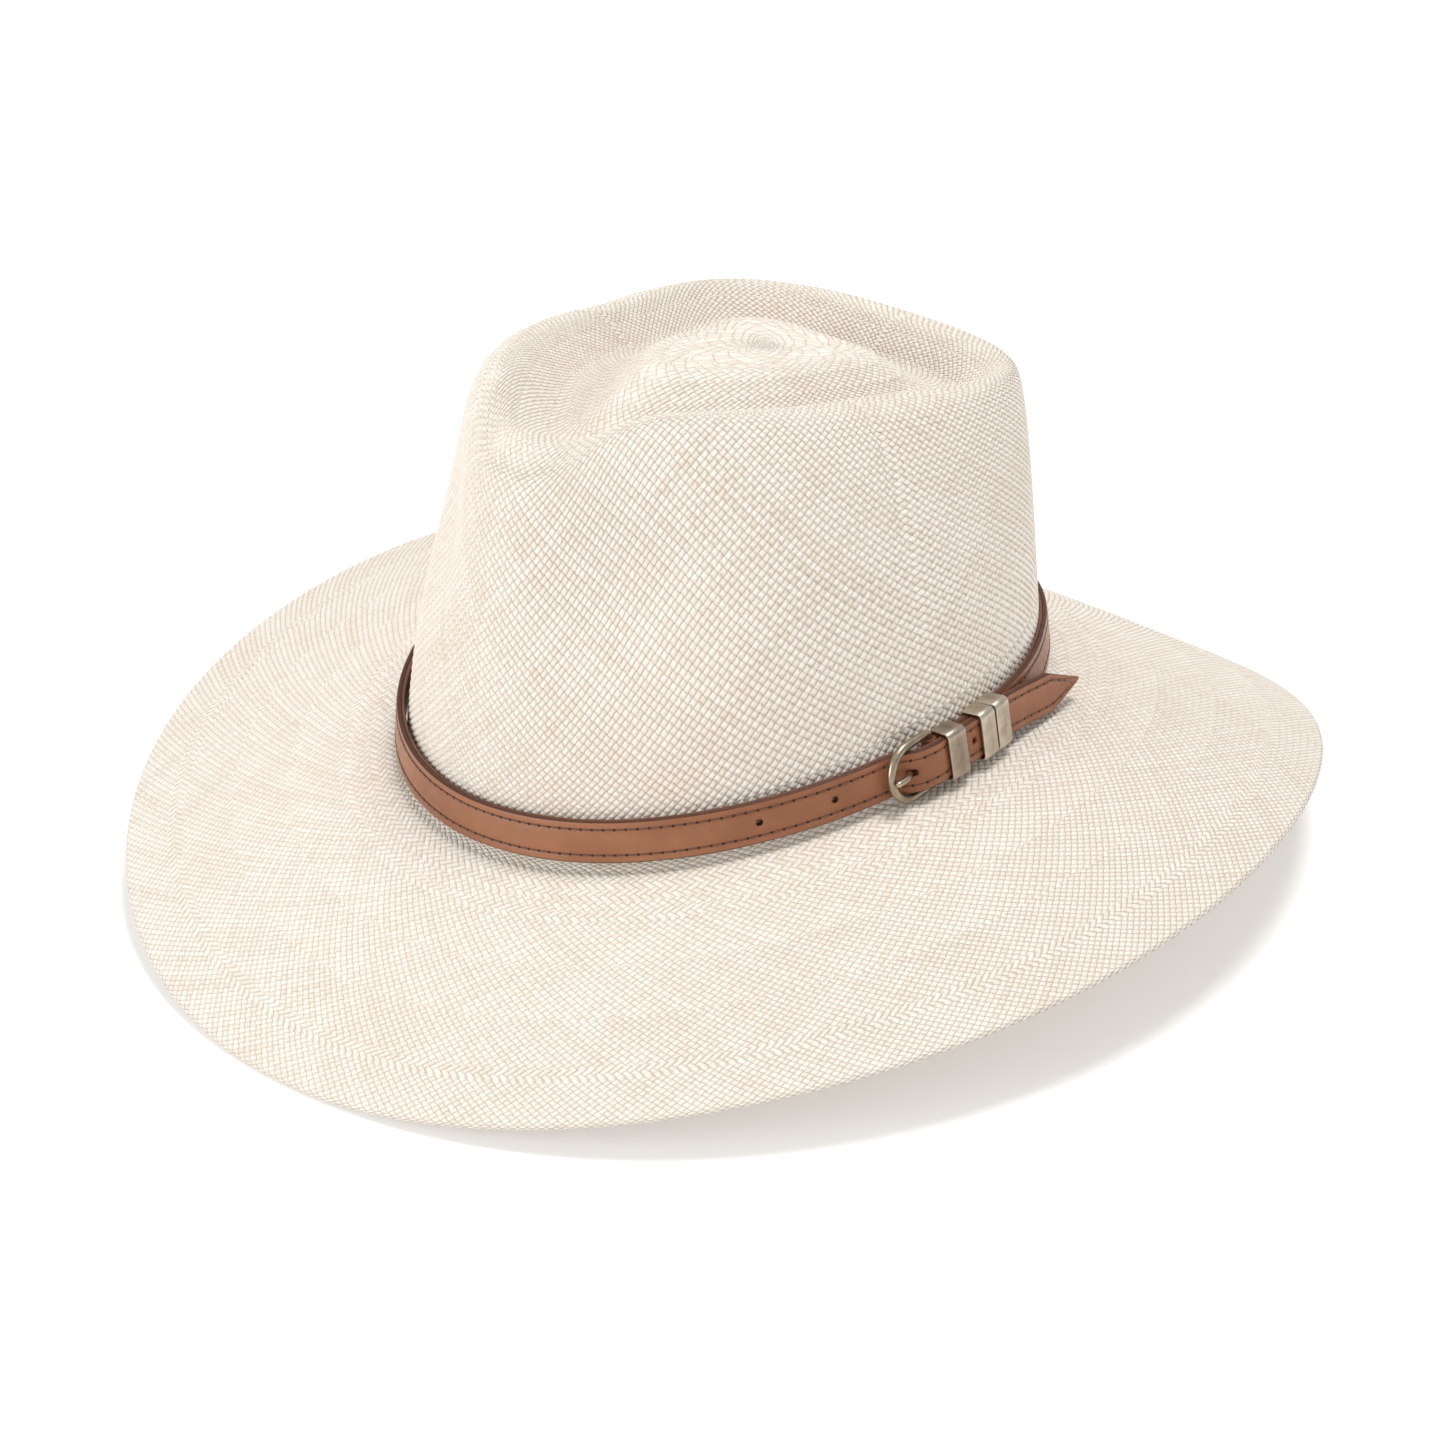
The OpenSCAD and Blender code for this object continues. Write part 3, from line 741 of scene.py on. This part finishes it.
SLOT_FROM, SLOT_TO, SLOT_R = -10.1, -9.3, 1.15   # the prong's stretched hole


def angle_at(s):
    return np.radians(BAR_ANGLE + np.asarray(s, float) / MM_PER_DEGREE)


def lay(s):
    s = np.asarray(s, float)
    low = np.interp(s, *LOWER_LAY)
    fine = np.stack([np.interp(s - TURN_S + k, *BILLET_LAY) for k in (-0.9, -0.45, 0, 0.45, 0.9)])
    return np.where(s < TURN_S / 2, low, fine.mean(0))


def droop(s):
    """How far the billet's end hangs below the strap's line."""
    return np.interp(np.asarray(s, float) - TURN_S, [31, CORNER_AT, POINT_AT], [0.0, 3.0, 5.2])


def strap_lean(phi):
    return np.radians(5 + 2.5 * np.cos(phi))


def band_point(phi, d, h):
    lean = strap_lean(phi)
    x, y = oval(phi, d * np.cos(lean) - h * np.sin(lean))
    return np.stack(np.broadcast_arrays(x, y, band_z(phi) + h * np.cos(lean) + d * np.sin(lean)), -1)


def beside_crown(s, out=0.0):
    """Matrix of the place beside the crown at s: X out, Y along the strap, Z up (mm)."""
    phi = float(angle_at(s))
    foot = Vector(band_point(phi, 0.0, STRAP_H / 2))
    normal = math.atan2(math.sin(phi) / HALF_W, math.cos(phi) / HALF_L)
    one = math.radians(1)
    a, b = np.array(oval(phi + one)), np.array(oval(phi - one))
    slope = math.atan(float(band_z(phi + one) - band_z(phi - one)) / float(np.linalg.norm(a - b)))
    turn = Matrix.Rotation(normal - math.pi / 2, 4, "Z") @ Matrix.Rotation(-float(strap_lean(phi)), 4, "Y")
    return Matrix.Translation(foot) @ turn @ Matrix.Rotation(slope, 4, "X") @ Matrix.Translation((out, 0, 0))


def placed(points, matrix):
    """Local millimetres through a matrix to scene metres."""
    m = np.array(matrix)
    return to_scene(np.asarray(points) @ m[:3, :3].T + m[:3, 3])


def route(start, end, step):
    return np.linspace(start, end, max(2, int(round((end - start) / step)) + 1))


SECTION_FACE = [
    (0.0, 0.35, 1.0), (0.35, 0.02, 1.0), (FACE - 0.45, 0.0, 1.0), (FACE - 0.12, 0.16, 0.9),
    (FACE, 0.55, 0.25),
    (FACE + 0.05, 1.3, 0.0), (FACE + 0.03, 1.85, 0.0), (FACE - 0.16, 2.3, 0.15), (FACE - 0.16, 2.6, 0.15),
    (FACE + 0.03, 3.05, 0.0), (FACE + 0.10, 4.4, 0.0),
]
SECTION_BACK = [(0.0, 0.3, 1.0), (0.15, 0.08, 1.0), (0.45, 0.0, 1.0), (BACKING, 0.0, 1.0)]


def mirrored(section):
    """Both halves of a strap section: (out, height from the middle, edge)."""
    low = [(o, -STRAP_H / 2 + h, e) for o, h, e in section]
    return low + [(o, -h, e) for o, h, e in reversed(low)]


def strap_piece(name, section, base, start, end):
    """A strap layer swept along the route, with its pointed end."""
    steps = np.concatenate([route(start, TURN_S - 60, 3.0)[:-1], route(TURN_S - 60, end - 14, 1.0)[:-1],
                            route(end - 14, end, 0.7)])
    shape = mirrored(section)
    rings, edges = [], []
    for s in steps:
        phi = float(angle_at(s))
        b = s - TURN_S
        taper = max(0.0, b - CORNER_AT) / (POINT_AT - CORNER_AT)
        half = mix(STRAP_H / 2, 0.45, taper)
        ring = []
        for o, h, e in shape:
            height = h * half / (STRAP_H / 2) - float(droop(s))
            ring.append(band_point(phi, float(lay(s)) + base + o, STRAP_H / 2 + height))
            edges.append(e)
        rings.append(ring)
    obj = sweep(name, to_scene(rings), values={"edge": np.array(edges)})
    return turn_out(obj)


def dress(obj, material):
    """Gives the whole piece one material."""
    obj.data.materials.clear()
    obj.data.materials.append(material)
    obj.data.polygons.foreach_set("material_index", np.zeros(len(obj.data.polygons), np.int32))


def punch(outline, matrix, reach):
    """A cutter through the strap: an outline of (along, up) points drawn along the matrix's X."""
    rings = [placed(np.insert(outline, 0, x, axis=1), matrix) for x in (-reach, reach)]
    return turn_out(sweep("punch", rings))


def cut_holes(obj):
    """Punches the billet's holes, and the stretched one that the prong passes through."""
    a = turns(28)
    round_hole = HOLE_D / 2 * np.column_stack([np.cos(a), np.sin(a)])
    cutters = []
    for at in HOLES_AT:
        out = float(lay(TURN_S + at)) + STRAP_T / 2
        cutters.append(punch(round_hole, beside_crown(at, out), 3.0))
    # A rounded slot along the strap
    a = np.linspace(-math.pi / 2, math.pi / 2, 12)
    half = SLOT_R * np.column_stack([np.cos(a), np.sin(a)])
    slot = np.concatenate([half + [SLOT_TO, 0], -half + [SLOT_FROM, 0]])
    cutters.append(punch(slot, beside_crown(0, BAR_OUT), 7.0))
    cutter = join("cutters", cutters)
    boolean = obj.modifiers.new("holes", "BOOLEAN")
    boolean.operation = "DIFFERENCE"
    boolean.solver = "EXACT"
    boolean.object = cutter
    bpy.context.view_layer.objects.active = obj
    bpy.ops.object.modifier_apply(modifier=boolean.name)
    bpy.data.objects.remove(cutter)


END = TURN_S + POINT_AT
strap = strap_piece("strap_face", SECTION_FACE, BACKING, START_AT, END)
cut_holes(strap)
dress(strap, LEATHER)
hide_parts("hatband_strap")
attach(strap, "hatband")

backing = strap_piece("strap_backing", SECTION_BACK, 0.0, START_AT, END)
cut_holes(backing)
dress(backing, LEATHER_BACK)
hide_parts("hatband_backing")
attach(backing, "hatband")

# -------- stitching
STITCH_PITCH, STITCH_LONG, THREAD_R = 3.6, 2.7, 0.24


def stitch(start, end, radius, up, sides=8, rows=7):
    """One stitch from start to end (mm), sunk at both ends; up is the leather's outward direction."""
    start, end, up = np.array(start), np.array(end), np.array(up)
    along = end - start
    length = np.linalg.norm(along)
    along /= length
    side = np.cross(along, up)
    rings = []
    for k in range(rows):
        t = k / (rows - 1)
        r = radius * max(0.25, math.sin(math.pi * (0.08 + 0.84 * t)) ** 0.45)
        rise = radius * (1.1 * math.sin(math.pi * t) ** 0.6 - 0.75)
        middle = start + along * length * t + up * rise
        a = turns(sides)
        rings.append(middle + r * (np.cos(a)[:, None] * side + 0.8 * np.sin(a)[:, None] * up))
    return np.array(rings)


def many_tubes(name, tubes, material):
    """One mesh of many short capped tubes with the same ring sizes."""
    tubes = np.array(tubes)
    count, rows, columns = tubes.shape[:3]
    caps = np.stack([tubes[:, 0].mean(1), tubes[:, -1].mean(1)], 1)
    points = np.concatenate([tubes.reshape(count, -1, 3), caps], 1).reshape(-1, 3)
    first = (np.arange(count) * (rows * columns + 2))[:, None, None]
    parts = [tube_faces(rows, columns)] + cap_faces(rows, columns)
    faces = [(part + first).reshape(-1, part.shape[1]) for part in parts]
    obj = turn_out(new_object(name, to_scene(points), faces))
    obj.data.materials.append(material)
    return obj


def seam_point(s, h):
    phi = float(angle_at(s))
    base = float(lay(s)) + STRAP_T
    h = h - float(droop(s))
    p = band_point(phi, base - 0.05, h)
    q = band_point(phi, base + 1.0, h)
    up = q - p
    return p, up / np.linalg.norm(up)


def stitch_pit_shade(point, up, along):
    """Painted shade for the pit where the thread goes in: a dark thin lens laid on the leather."""
    side = np.cross(along, up)
    side /= np.linalg.norm(side)
    a = turns(8)
    ring = np.cos(a)[:, None] * side * 0.8 + np.sin(a)[:, None] * along
    lens = [(0.52, 0.0), (0.50, 0.10), (0.36, 0.14), (0.15, 0.15)]
    return np.array([point + up * lift + r * ring for r, lift in lens])


def seam_row(name, node, h, side):
    """A row of stitches round the strap and in towards the point."""
    tubes, holes = [], []

    def sew(a, b, up):
        tubes.append(stitch(a, b, THREAD_R, up))
        along = (b - a) / np.linalg.norm(b - a)
        # dark lens just past each stitch: painted shade of the pit the thread goes into
        holes.append(stitch_pit_shade(b + along * 0.45, up, along))

    s = 36.0
    while s < TURN_S + CORNER_AT - 2:
        p, up = seam_point(s, h)
        q, _ = seam_point(s + STITCH_LONG, h)
        sew(p, q, up)
        s += STITCH_PITCH
    # Slanting run to the point
    p0 = np.array([s, h])
    p1 = np.array([TURN_S + POINT_AT - 5.5, STRAP_H / 2 + side * 0.9])
    run = p1 - p0
    count = max(2, int(np.linalg.norm(run) / STITCH_PITCH))
    for k in range(count + 1):
        a = p0 + run * k / (count + 0.65)
        b = a + run / np.linalg.norm(run) * STITCH_LONG
        p, up = seam_point(a[0], a[1])
        q, _ = seam_point(b[0], b[1])
        sew(p, q, up)
    # the holes piece is the painted shade of the stitch pits
    obj = join(name, [many_tubes(name, tubes, THREAD_BROWN), many_tubes("holes", holes, STITCH_PIT_SHADE)])
    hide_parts(node)
    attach(obj, "hatband")
    return obj


seam_row("stitches_upper", "hatband_stitching_upper", STRAP_H - 2.45, 1)
seam_row("stitches_lower", "hatband_stitching_lower", 2.45, -1)

# -------- buckle
ROD_R, ROD_SHOWN = 1.15, 1.28        # at the bar, and round the rest of the frame
FRAME_HALF = 18.4 / 2 - ROD_R
STRAIGHT = 19.6 - 2 * ROD_R - FRAME_HALF
FRAME_END = STRAIGHT + FRAME_HALF
FRAME_RISE = math.radians(6)


def tube(path, radii, up, sides, closed, flat=1.0):
    """A round rod along a path (mm, scene form); up keeps the section from twisting."""
    path = np.asarray(path, float)
    n = len(path)
    radii = np.broadcast_to(radii, n)
    rings = []
    for i in range(n):
        before = path[(i - 1) % n] if closed or i else path[i]
        after = path[(i + 1) % n] if closed or i < n - 1 else path[i]
        t = after - before
        t /= np.linalg.norm(t)
        side = np.cross(t, up)
        side /= np.linalg.norm(side)
        out = np.cross(side, t)
        a = turns(sides)
        rings.append(path[i] + radii[i] * (np.cos(a)[:, None] * side + flat * np.sin(a)[:, None] * out))
    return np.array(rings)


def local_tube(name, path, radii, matrix, up=(1, 0, 0), sides=20, closed=False, flat=1.0):
    """A rod from a path in a matrix's own millimetres."""
    rings = tube(path, radii, np.array(up, float), sides, closed, flat)
    return turn_out(sweep(name, placed(rings, matrix), closed_path=closed))


def arc(center, radius, start, end, steps):
    """Arc in the buckle's plane: (along, up) pairs, angles in degrees."""
    a = np.radians(np.linspace(start, end, steps))
    return np.stack([center[0] + radius * np.cos(a), center[1] + radius * np.sin(a)], -1)


def buckle_path():
    """The frame's closed middle line: round far end, straight sides, square heel."""
    r = 1.1
    far = arc((-STRAIGHT, 0), FRAME_HALF, 90, 270, 40)
    low = arc((-r, -FRAME_HALF + r), r, 270, 360, 7)
    high = arc((-r, FRAME_HALF - r), r, 0, 90, 7)
    sides_low = np.stack([np.linspace(-STRAIGHT, -r, 8)[1:-1], np.full(6, -FRAME_HALF)], -1)
    heel = np.stack([np.zeros(9), np.linspace(-FRAME_HALF + r, FRAME_HALF - r, 11)[1:-1]], -1)
    sides_high = np.stack([np.linspace(-r, -STRAIGHT, 8)[1:-1], np.full(6, FRAME_HALF)], -1)
    flat = np.concatenate([far, sides_low, low, heel, high, sides_high])
    return np.column_stack([np.zeros(len(flat)), flat])


bar = beside_crown(0, BAR_OUT)
tipped = bar @ Matrix.Rotation(FRAME_RISE, 4, "Z")
horseshoe = buckle_path()
rod = np.interp(-horseshoe[:, 1], [1.5, 4.5], [ROD_R, ROD_SHOWN])
buckle = local_tube("buckle_horseshoe", horseshoe, rod, tipped, sides=24, closed=True)
buckle.data.materials.append(BRASS)
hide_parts("buckle_frame")
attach(buckle, "hatband")

PRONG_R = 1.1
EYE_STRETCH = 2.4                   # the eye's width along the bar against its thickness
REST_X = FRAME_END * math.sin(FRAME_RISE) + ROD_SHOWN + PRONG_R + 0.02
PRONG_LINE = [(0.6, -1.6), (0, -4.4), (0, -7.2), (1.2, -9.4), (2.5, -11.2), (REST_X - 0.2, -13.4),
              (REST_X, -FRAME_END - 0.4)]


def smooth_line(points, rounds=3):
    """Rounds a polyline by corner cutting."""
    p = np.array(points, float)
    for _ in range(rounds):
        cut = np.empty((2 * len(p) - 2, p.shape[1]))
        cut[0::2] = 0.75 * p[:-1] + 0.25 * p[1:]
        cut[1::2] = 0.25 * p[:-1] + 0.75 * p[1:]
        p = np.concatenate([p[:1], cut, p[-1:]])
    return p


def make_prong():
    line = smooth_line(PRONG_LINE)
    path = np.column_stack([line, np.zeros(len(line))])
    length = np.concatenate([[0], np.cumsum(np.linalg.norm(np.diff(path, axis=0), axis=1))])
    t = length / length[-1]
    end = np.clip((1 - t) / 0.06, 0.0, 1.0)
    radii = PRONG_R * (1 - 0.12 * t) * np.sqrt(np.clip(1 - (1 - end) ** 2, 0.04, 1.0))
    shank = local_tube("prong_shank", path, radii, bar, up=(0, 0, 1), flat=0.95)
    eye_r = ROD_R + 0.5
    a = turns(32)
    ring = np.stack([eye_r * np.cos(a), eye_r * np.sin(a), np.zeros(32)], -1)
    eye_tube = tube(ring, 0.42, np.array([0.0, 0.0, 1.0]), 14, True)
    middle = eye_tube.mean(axis=1, keepdims=True)
    stretched = (eye_tube - middle) * [1, 1, EYE_STRETCH] + middle
    eye = turn_out(sweep("prong_eye", placed(stretched, bar), closed_path=True))
    return join("prong", [shank, eye])


prong = make_prong()
prong.data.materials.append(BRASS)
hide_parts("buckle_prong")
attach(prong, "prong")


# -------- keepers
KEEPER_METAL_T, KEEPER_CORNER, KEEPER_EDGE = 0.9, 1.3, 0.22
KEEPER_GAP = 0.35
KEEPER_BACK = LOWER_OUT - KEEPER_GAP
KEEPER_FACE = BILLET_OVER + STRAP_T + 0.35 + KEEPER_GAP
KEEPER_HALF = STRAP_H / 2 + KEEPER_GAP


def make_keeper(name, s, width, bulge):
    """A flat metal loop with rounded corners and soft edges, its face slightly domed."""
    t = KEEPER_METAL_T
    r = KEEPER_CORNER
    low, high, tall = KEEPER_BACK - t / 2 + r, KEEPER_FACE + t / 2 - r, KEEPER_HALF + t / 2 - r
    path, outs = [], []
    for quarter, (cx, cz) in enumerate([(high, tall), (low, tall), (low, -tall), (high, -tall)]):
        for a in np.radians(np.linspace(90 * quarter, 90 * quarter + 90, 9)):
            path.append((cx + r * math.cos(a), cz + r * math.sin(a)))
            outs.append((math.cos(a), math.sin(a)))
    dense, normals = [], []
    n = len(path)
    for i in range(n):
        p, q = np.array(path[i]), np.array(path[(i + 1) % n])
        u, v = np.array(outs[i]), np.array(outs[(i + 1) % n])
        pieces = max(1, int(np.linalg.norm(q - p) / 1.0))
        for k in range(pieces):
            f = k / pieces
            dense.append(p + (q - p) * f)
            o = u + (v - u) * f
            normals.append(o / np.linalg.norm(o))
    e, w = KEEPER_EDGE, width / 2
    half = [(-t / 2, w - e), (-t / 2 + e, w), (t / 2 - 2 * e, w), (t / 2 - 0.6 * e, w - 0.5 * e),
            (t / 2, w - 1.6 * e)]
    other = [(q, -y) for q, y in reversed(half)]
    section = other[-1:] + half + [(t / 2 + bulge, 0.0)] + other[:-1]
    rings = [[(p[0] + o[0] * q, y, p[1] + o[1] * q) for q, y in section] for p, o in zip(dense, normals)]
    return turn_out(sweep(name, placed(rings, beside_crown(s)), closed_path=True))


KEEPERS = [
    # front keeper: the metal copy painted dark for a dark reflection; rear keepers: the lit copy
    ("keeper_wide", "keeper_front", "front_keeper", 5.8, 7.2, KEEPER_PAINTED_DARK),
    ("keeper_narrow_inner", "keeper_rear_inner", "rear_keeper_inner", 18.6, 6.4, KEEPER_LIT),
    ("keeper_narrow_outer", "keeper_rear_outer", "rear_keeper_outer", 18.6 + 6.4 + 0.3, 6.4, KEEPER_LIT),
]
for piece_name, node, body, at, width, metal in KEEPERS:
    keeper = make_keeper(piece_name, at, width, 0.12)
    keeper.data.materials.append(metal)
    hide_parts(node)
    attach(keeper, body)

dress(frame["nodes"]["buckle_chape"], LEATHER_BACK)

# -------- sweatband
SWEAT_OUT = -STRAW - 0.6
SWEAT_T, SWEAT_FOOT, SWEAT_H = 0.9, 3.2, 32.0
REED_R = 1.1
SWEAT_STITCHES = 170


def wall_shift(phi, h):
    return (0.14 + 0.08 * np.cos(phi)) * h


def inner_point(phi, out, h):
    x, y = oval(phi, out - wall_shift(phi, h))
    return np.stack(np.broadcast_arrays(x, y, foot_z(phi) + h), -1)


def make_sweatband():
    """Cloth band with a soft turned top edge and a slight ripple."""
    section = [(0.0, 0.0), (0.0, 8.0), (0.0, 16.0), (0.0, 24.0), (0.02, 30.5), (0.2, 31.7), (0.5, 32.0),
               (0.8, 31.7), (1.05, 30.9), (1.1, 29.5), (0.92, 28.6), (0.9, 20.0), (0.9, 12.0), (0.9, 4.0),
               (0.8, 2.2), (0.9, 0.4)]
    rings = []
    for phi in turns(240):
        ripple = 0.12 * math.sin(9 * phi) + 0.08 * math.sin(17 * phi + 1.0)
        rings.append([inner_point(phi, SWEAT_OUT - o - max(0.0, ripple) * h / SWEAT_H, SWEAT_FOOT + h)
                      for o, h in section])
    obj = turn_out(sweep("sweatband_cloth", to_scene(rings), closed_path=True))
    obj.data.materials.append(SWEAT_CLOTH)
    return obj


sweatband = make_sweatband()
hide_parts("sweatband")
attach(sweatband, "hat")


def make_reed():
    rings = []
    a = turns(14)
    for phi in turns(240):
        out = SWEAT_OUT - float(wall_shift(phi, SWEAT_FOOT)) - REED_R + REED_R * np.sin(a)
        x, y = oval(phi, out)
        z = foot_z(phi) + SWEAT_FOOT - REED_R - 0.05 + REED_R * np.cos(a)
        rings.append(np.stack([x, y, z], -1))
    obj = turn_out(sweep("reed_piping", to_scene(rings), closed_path=True))
    obj.data.materials.append(PIPING)
    return obj


reed = make_reed()
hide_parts("sweatband_reed")
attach(reed, "hat")


def make_sweat_stitches():
    tubes = []
    for a in turns(SWEAT_STITCHES):
        b = a + 0.62 * TURN / SWEAT_STITCHES
        p = inner_point(a, SWEAT_OUT - SWEAT_T - 0.02, SWEAT_FOOT + 2.2)
        q = inner_point(b, SWEAT_OUT - SWEAT_T - 0.02, SWEAT_FOOT + 2.2)
        up = -np.array([math.sin(a), -math.cos(a), 0.0])
        tubes.append(stitch(p, q, 0.22, up))
    return many_tubes("sweatband_thread", tubes, THREAD_PALE)


sweat_thread = make_sweat_stitches()
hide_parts("sweatband_stitching")
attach(sweat_thread, "hat")


def make_bow():
    """A small flat ribbon bow at the back of the sweatband."""
    up = SWEAT_FOOT + 20
    base_y = HALF_L + SWEAT_OUT - float(wall_shift(math.pi, up + 6)) - SWEAT_T
    middle = np.array([0.0, base_y - 1.0, float(foot_z(math.pi)) + up])
    parts = []
    thick = 0.35
    for side in (-1, 1):
        outline = [(0.6, 0.1), (4, 0.85), (8, 1.0), (11, 0.65), (11.5, 0.0), (11, -0.65), (8, -0.9),
                   (4, -0.75), (0.6, -0.1)]
        line = smooth_line(outline, 2)
        rings = []
        for x, y in line:
            wide = 1.6 + 1.8 * min(1.0, x / 8)
            ring = [(side * x, y + thick / 2 * j, wide * k) for j, k in ((-1, -1), (1, -1), (1, 1), (-1, 1))]
            rings.append(np.array(ring) + middle)
        parts.append(turn_out(sweep("loop", to_scene(rings))))
        tail = []
        for k in range(7):
            f = k / 6
            x, z = side * (1.0 + 6.0 * f), -1.0 - 5.0 * f
            ring = [(x + j * 1.4, 0.5 - thick * k, z + j * 0.9)
                    for j, k in ((-1, 1), (-1, 0), (1, 0), (1, 1))]
            tail.append(np.array(ring) + middle)
        parts.append(turn_out(sweep("tail", to_scene(tail))))
    knot = []
    for k in range(9):
        a = math.pi * (k / 8 - 0.5)
        x, bulge = 1.7 * math.sin(a), max(0.12, math.cos(a) ** 0.5)
        b = turns(14)
        ring = np.stack([np.full(14, x), 1.25 * bulge * np.cos(b), 2.2 * bulge * np.sin(b)], -1)
        knot.append(ring + middle)
    parts.append(turn_out(sweep("knot", to_scene(knot))))
    obj = join("bow_ribbon", parts)
    obj.data.materials.append(RIBBON)
    return obj


bow = make_bow()
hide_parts("sweatband_bow")
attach(bow, "hat")

# -------- stage, light and camera
bpy.ops.mesh.primitive_plane_add(size=12, location=(0, 0, -0.0005))
floor = bpy.context.object
floor.name = "floor"
g = Graph("floor_white")
dull = g.ramp(g.noise(g.place(), 3.0), 0.3, 0.7, 0.85, 0.95)
glow = {"Emission_Color": (1.0, 1.0, 1.0, 1.0), "Emission_Strength": 0.23}
floor.data.materials.append(g.finish(srgb(250, 250, 250), dull, **glow))

world = bpy.data.worlds.new("studio")
bpy.context.scene.world = world
world.use_nodes = True
background = world.node_tree.nodes["Background"]
background.inputs["Color"].default_value = (1.0, 1.0, 1.0, 1.0)
background.inputs["Strength"].default_value = 0.57


HAT_MIDDLE = Vector((0.0, 0.0, 0.08))
# Name, place and size in metres, watts
LIGHTS = [
    ("key", Vector((0.3, 0.35, 2.2)), 0.8, 27.0),
    ("left_fill", Vector((-0.7, -2.2, 0.7)), 1.4, 21.5),
    ("right_fill", Vector((1.7, -0.6, 1.0)), 1.4, 0.5),
]
for light_name, place, size, power in LIGHTS:
    light = bpy.data.lights.new(light_name, "AREA")
    light.shape = "DISK"
    light.size = size
    light.energy = power
    lamp = bpy.data.objects.new(light_name, light)
    bpy.context.scene.collection.objects.link(lamp)
    lamp.location = place
    lamp.rotation_euler = (HAT_MIDDLE - place).to_track_quat("-Z", "Y").to_euler()

AZIMUTH, ELEVATION, ROLL = math.radians(46.21), math.radians(27.79), math.radians(-3.33)
DISTANCE, LENS = 1.37, 114.25                   # metres, mm on a 36 mm sensor
AIM_RIGHT, AIM_UP = 0.00056, 0.01137            # metres that the head's middle sits from the picture's middle


def make_camera():
    az, el, roll = AZIMUTH, ELEVATION, ROLL
    back = Vector((math.sin(az) * math.cos(el), -math.cos(az) * math.cos(el), math.sin(el)))
    right = Vector((math.cos(az), math.sin(az), 0))
    up = back.cross(right)
    r2 = right * math.cos(roll) + up * math.sin(roll)
    u2 = -right * math.sin(roll) + up * math.cos(roll)
    head = Vector((0, HEAD_Y, REST_DROP)) * MM
    data = bpy.data.cameras.new("camera")
    data.sensor_width = 36.0
    data.lens = LENS
    obj = bpy.data.objects.new("camera", data)
    bpy.context.scene.collection.objects.link(obj)
    place = head + back * DISTANCE - r2 * AIM_RIGHT - u2 * AIM_UP
    turn = Matrix((r2, u2, back)).transposed().to_4x4()
    obj.matrix_world = Matrix.Translation(place) @ turn
    bpy.context.scene.camera = obj


make_camera()
bpy.context.scene.view_settings.view_transform = "Standard"
bpy.context.scene.view_settings.look = "None"
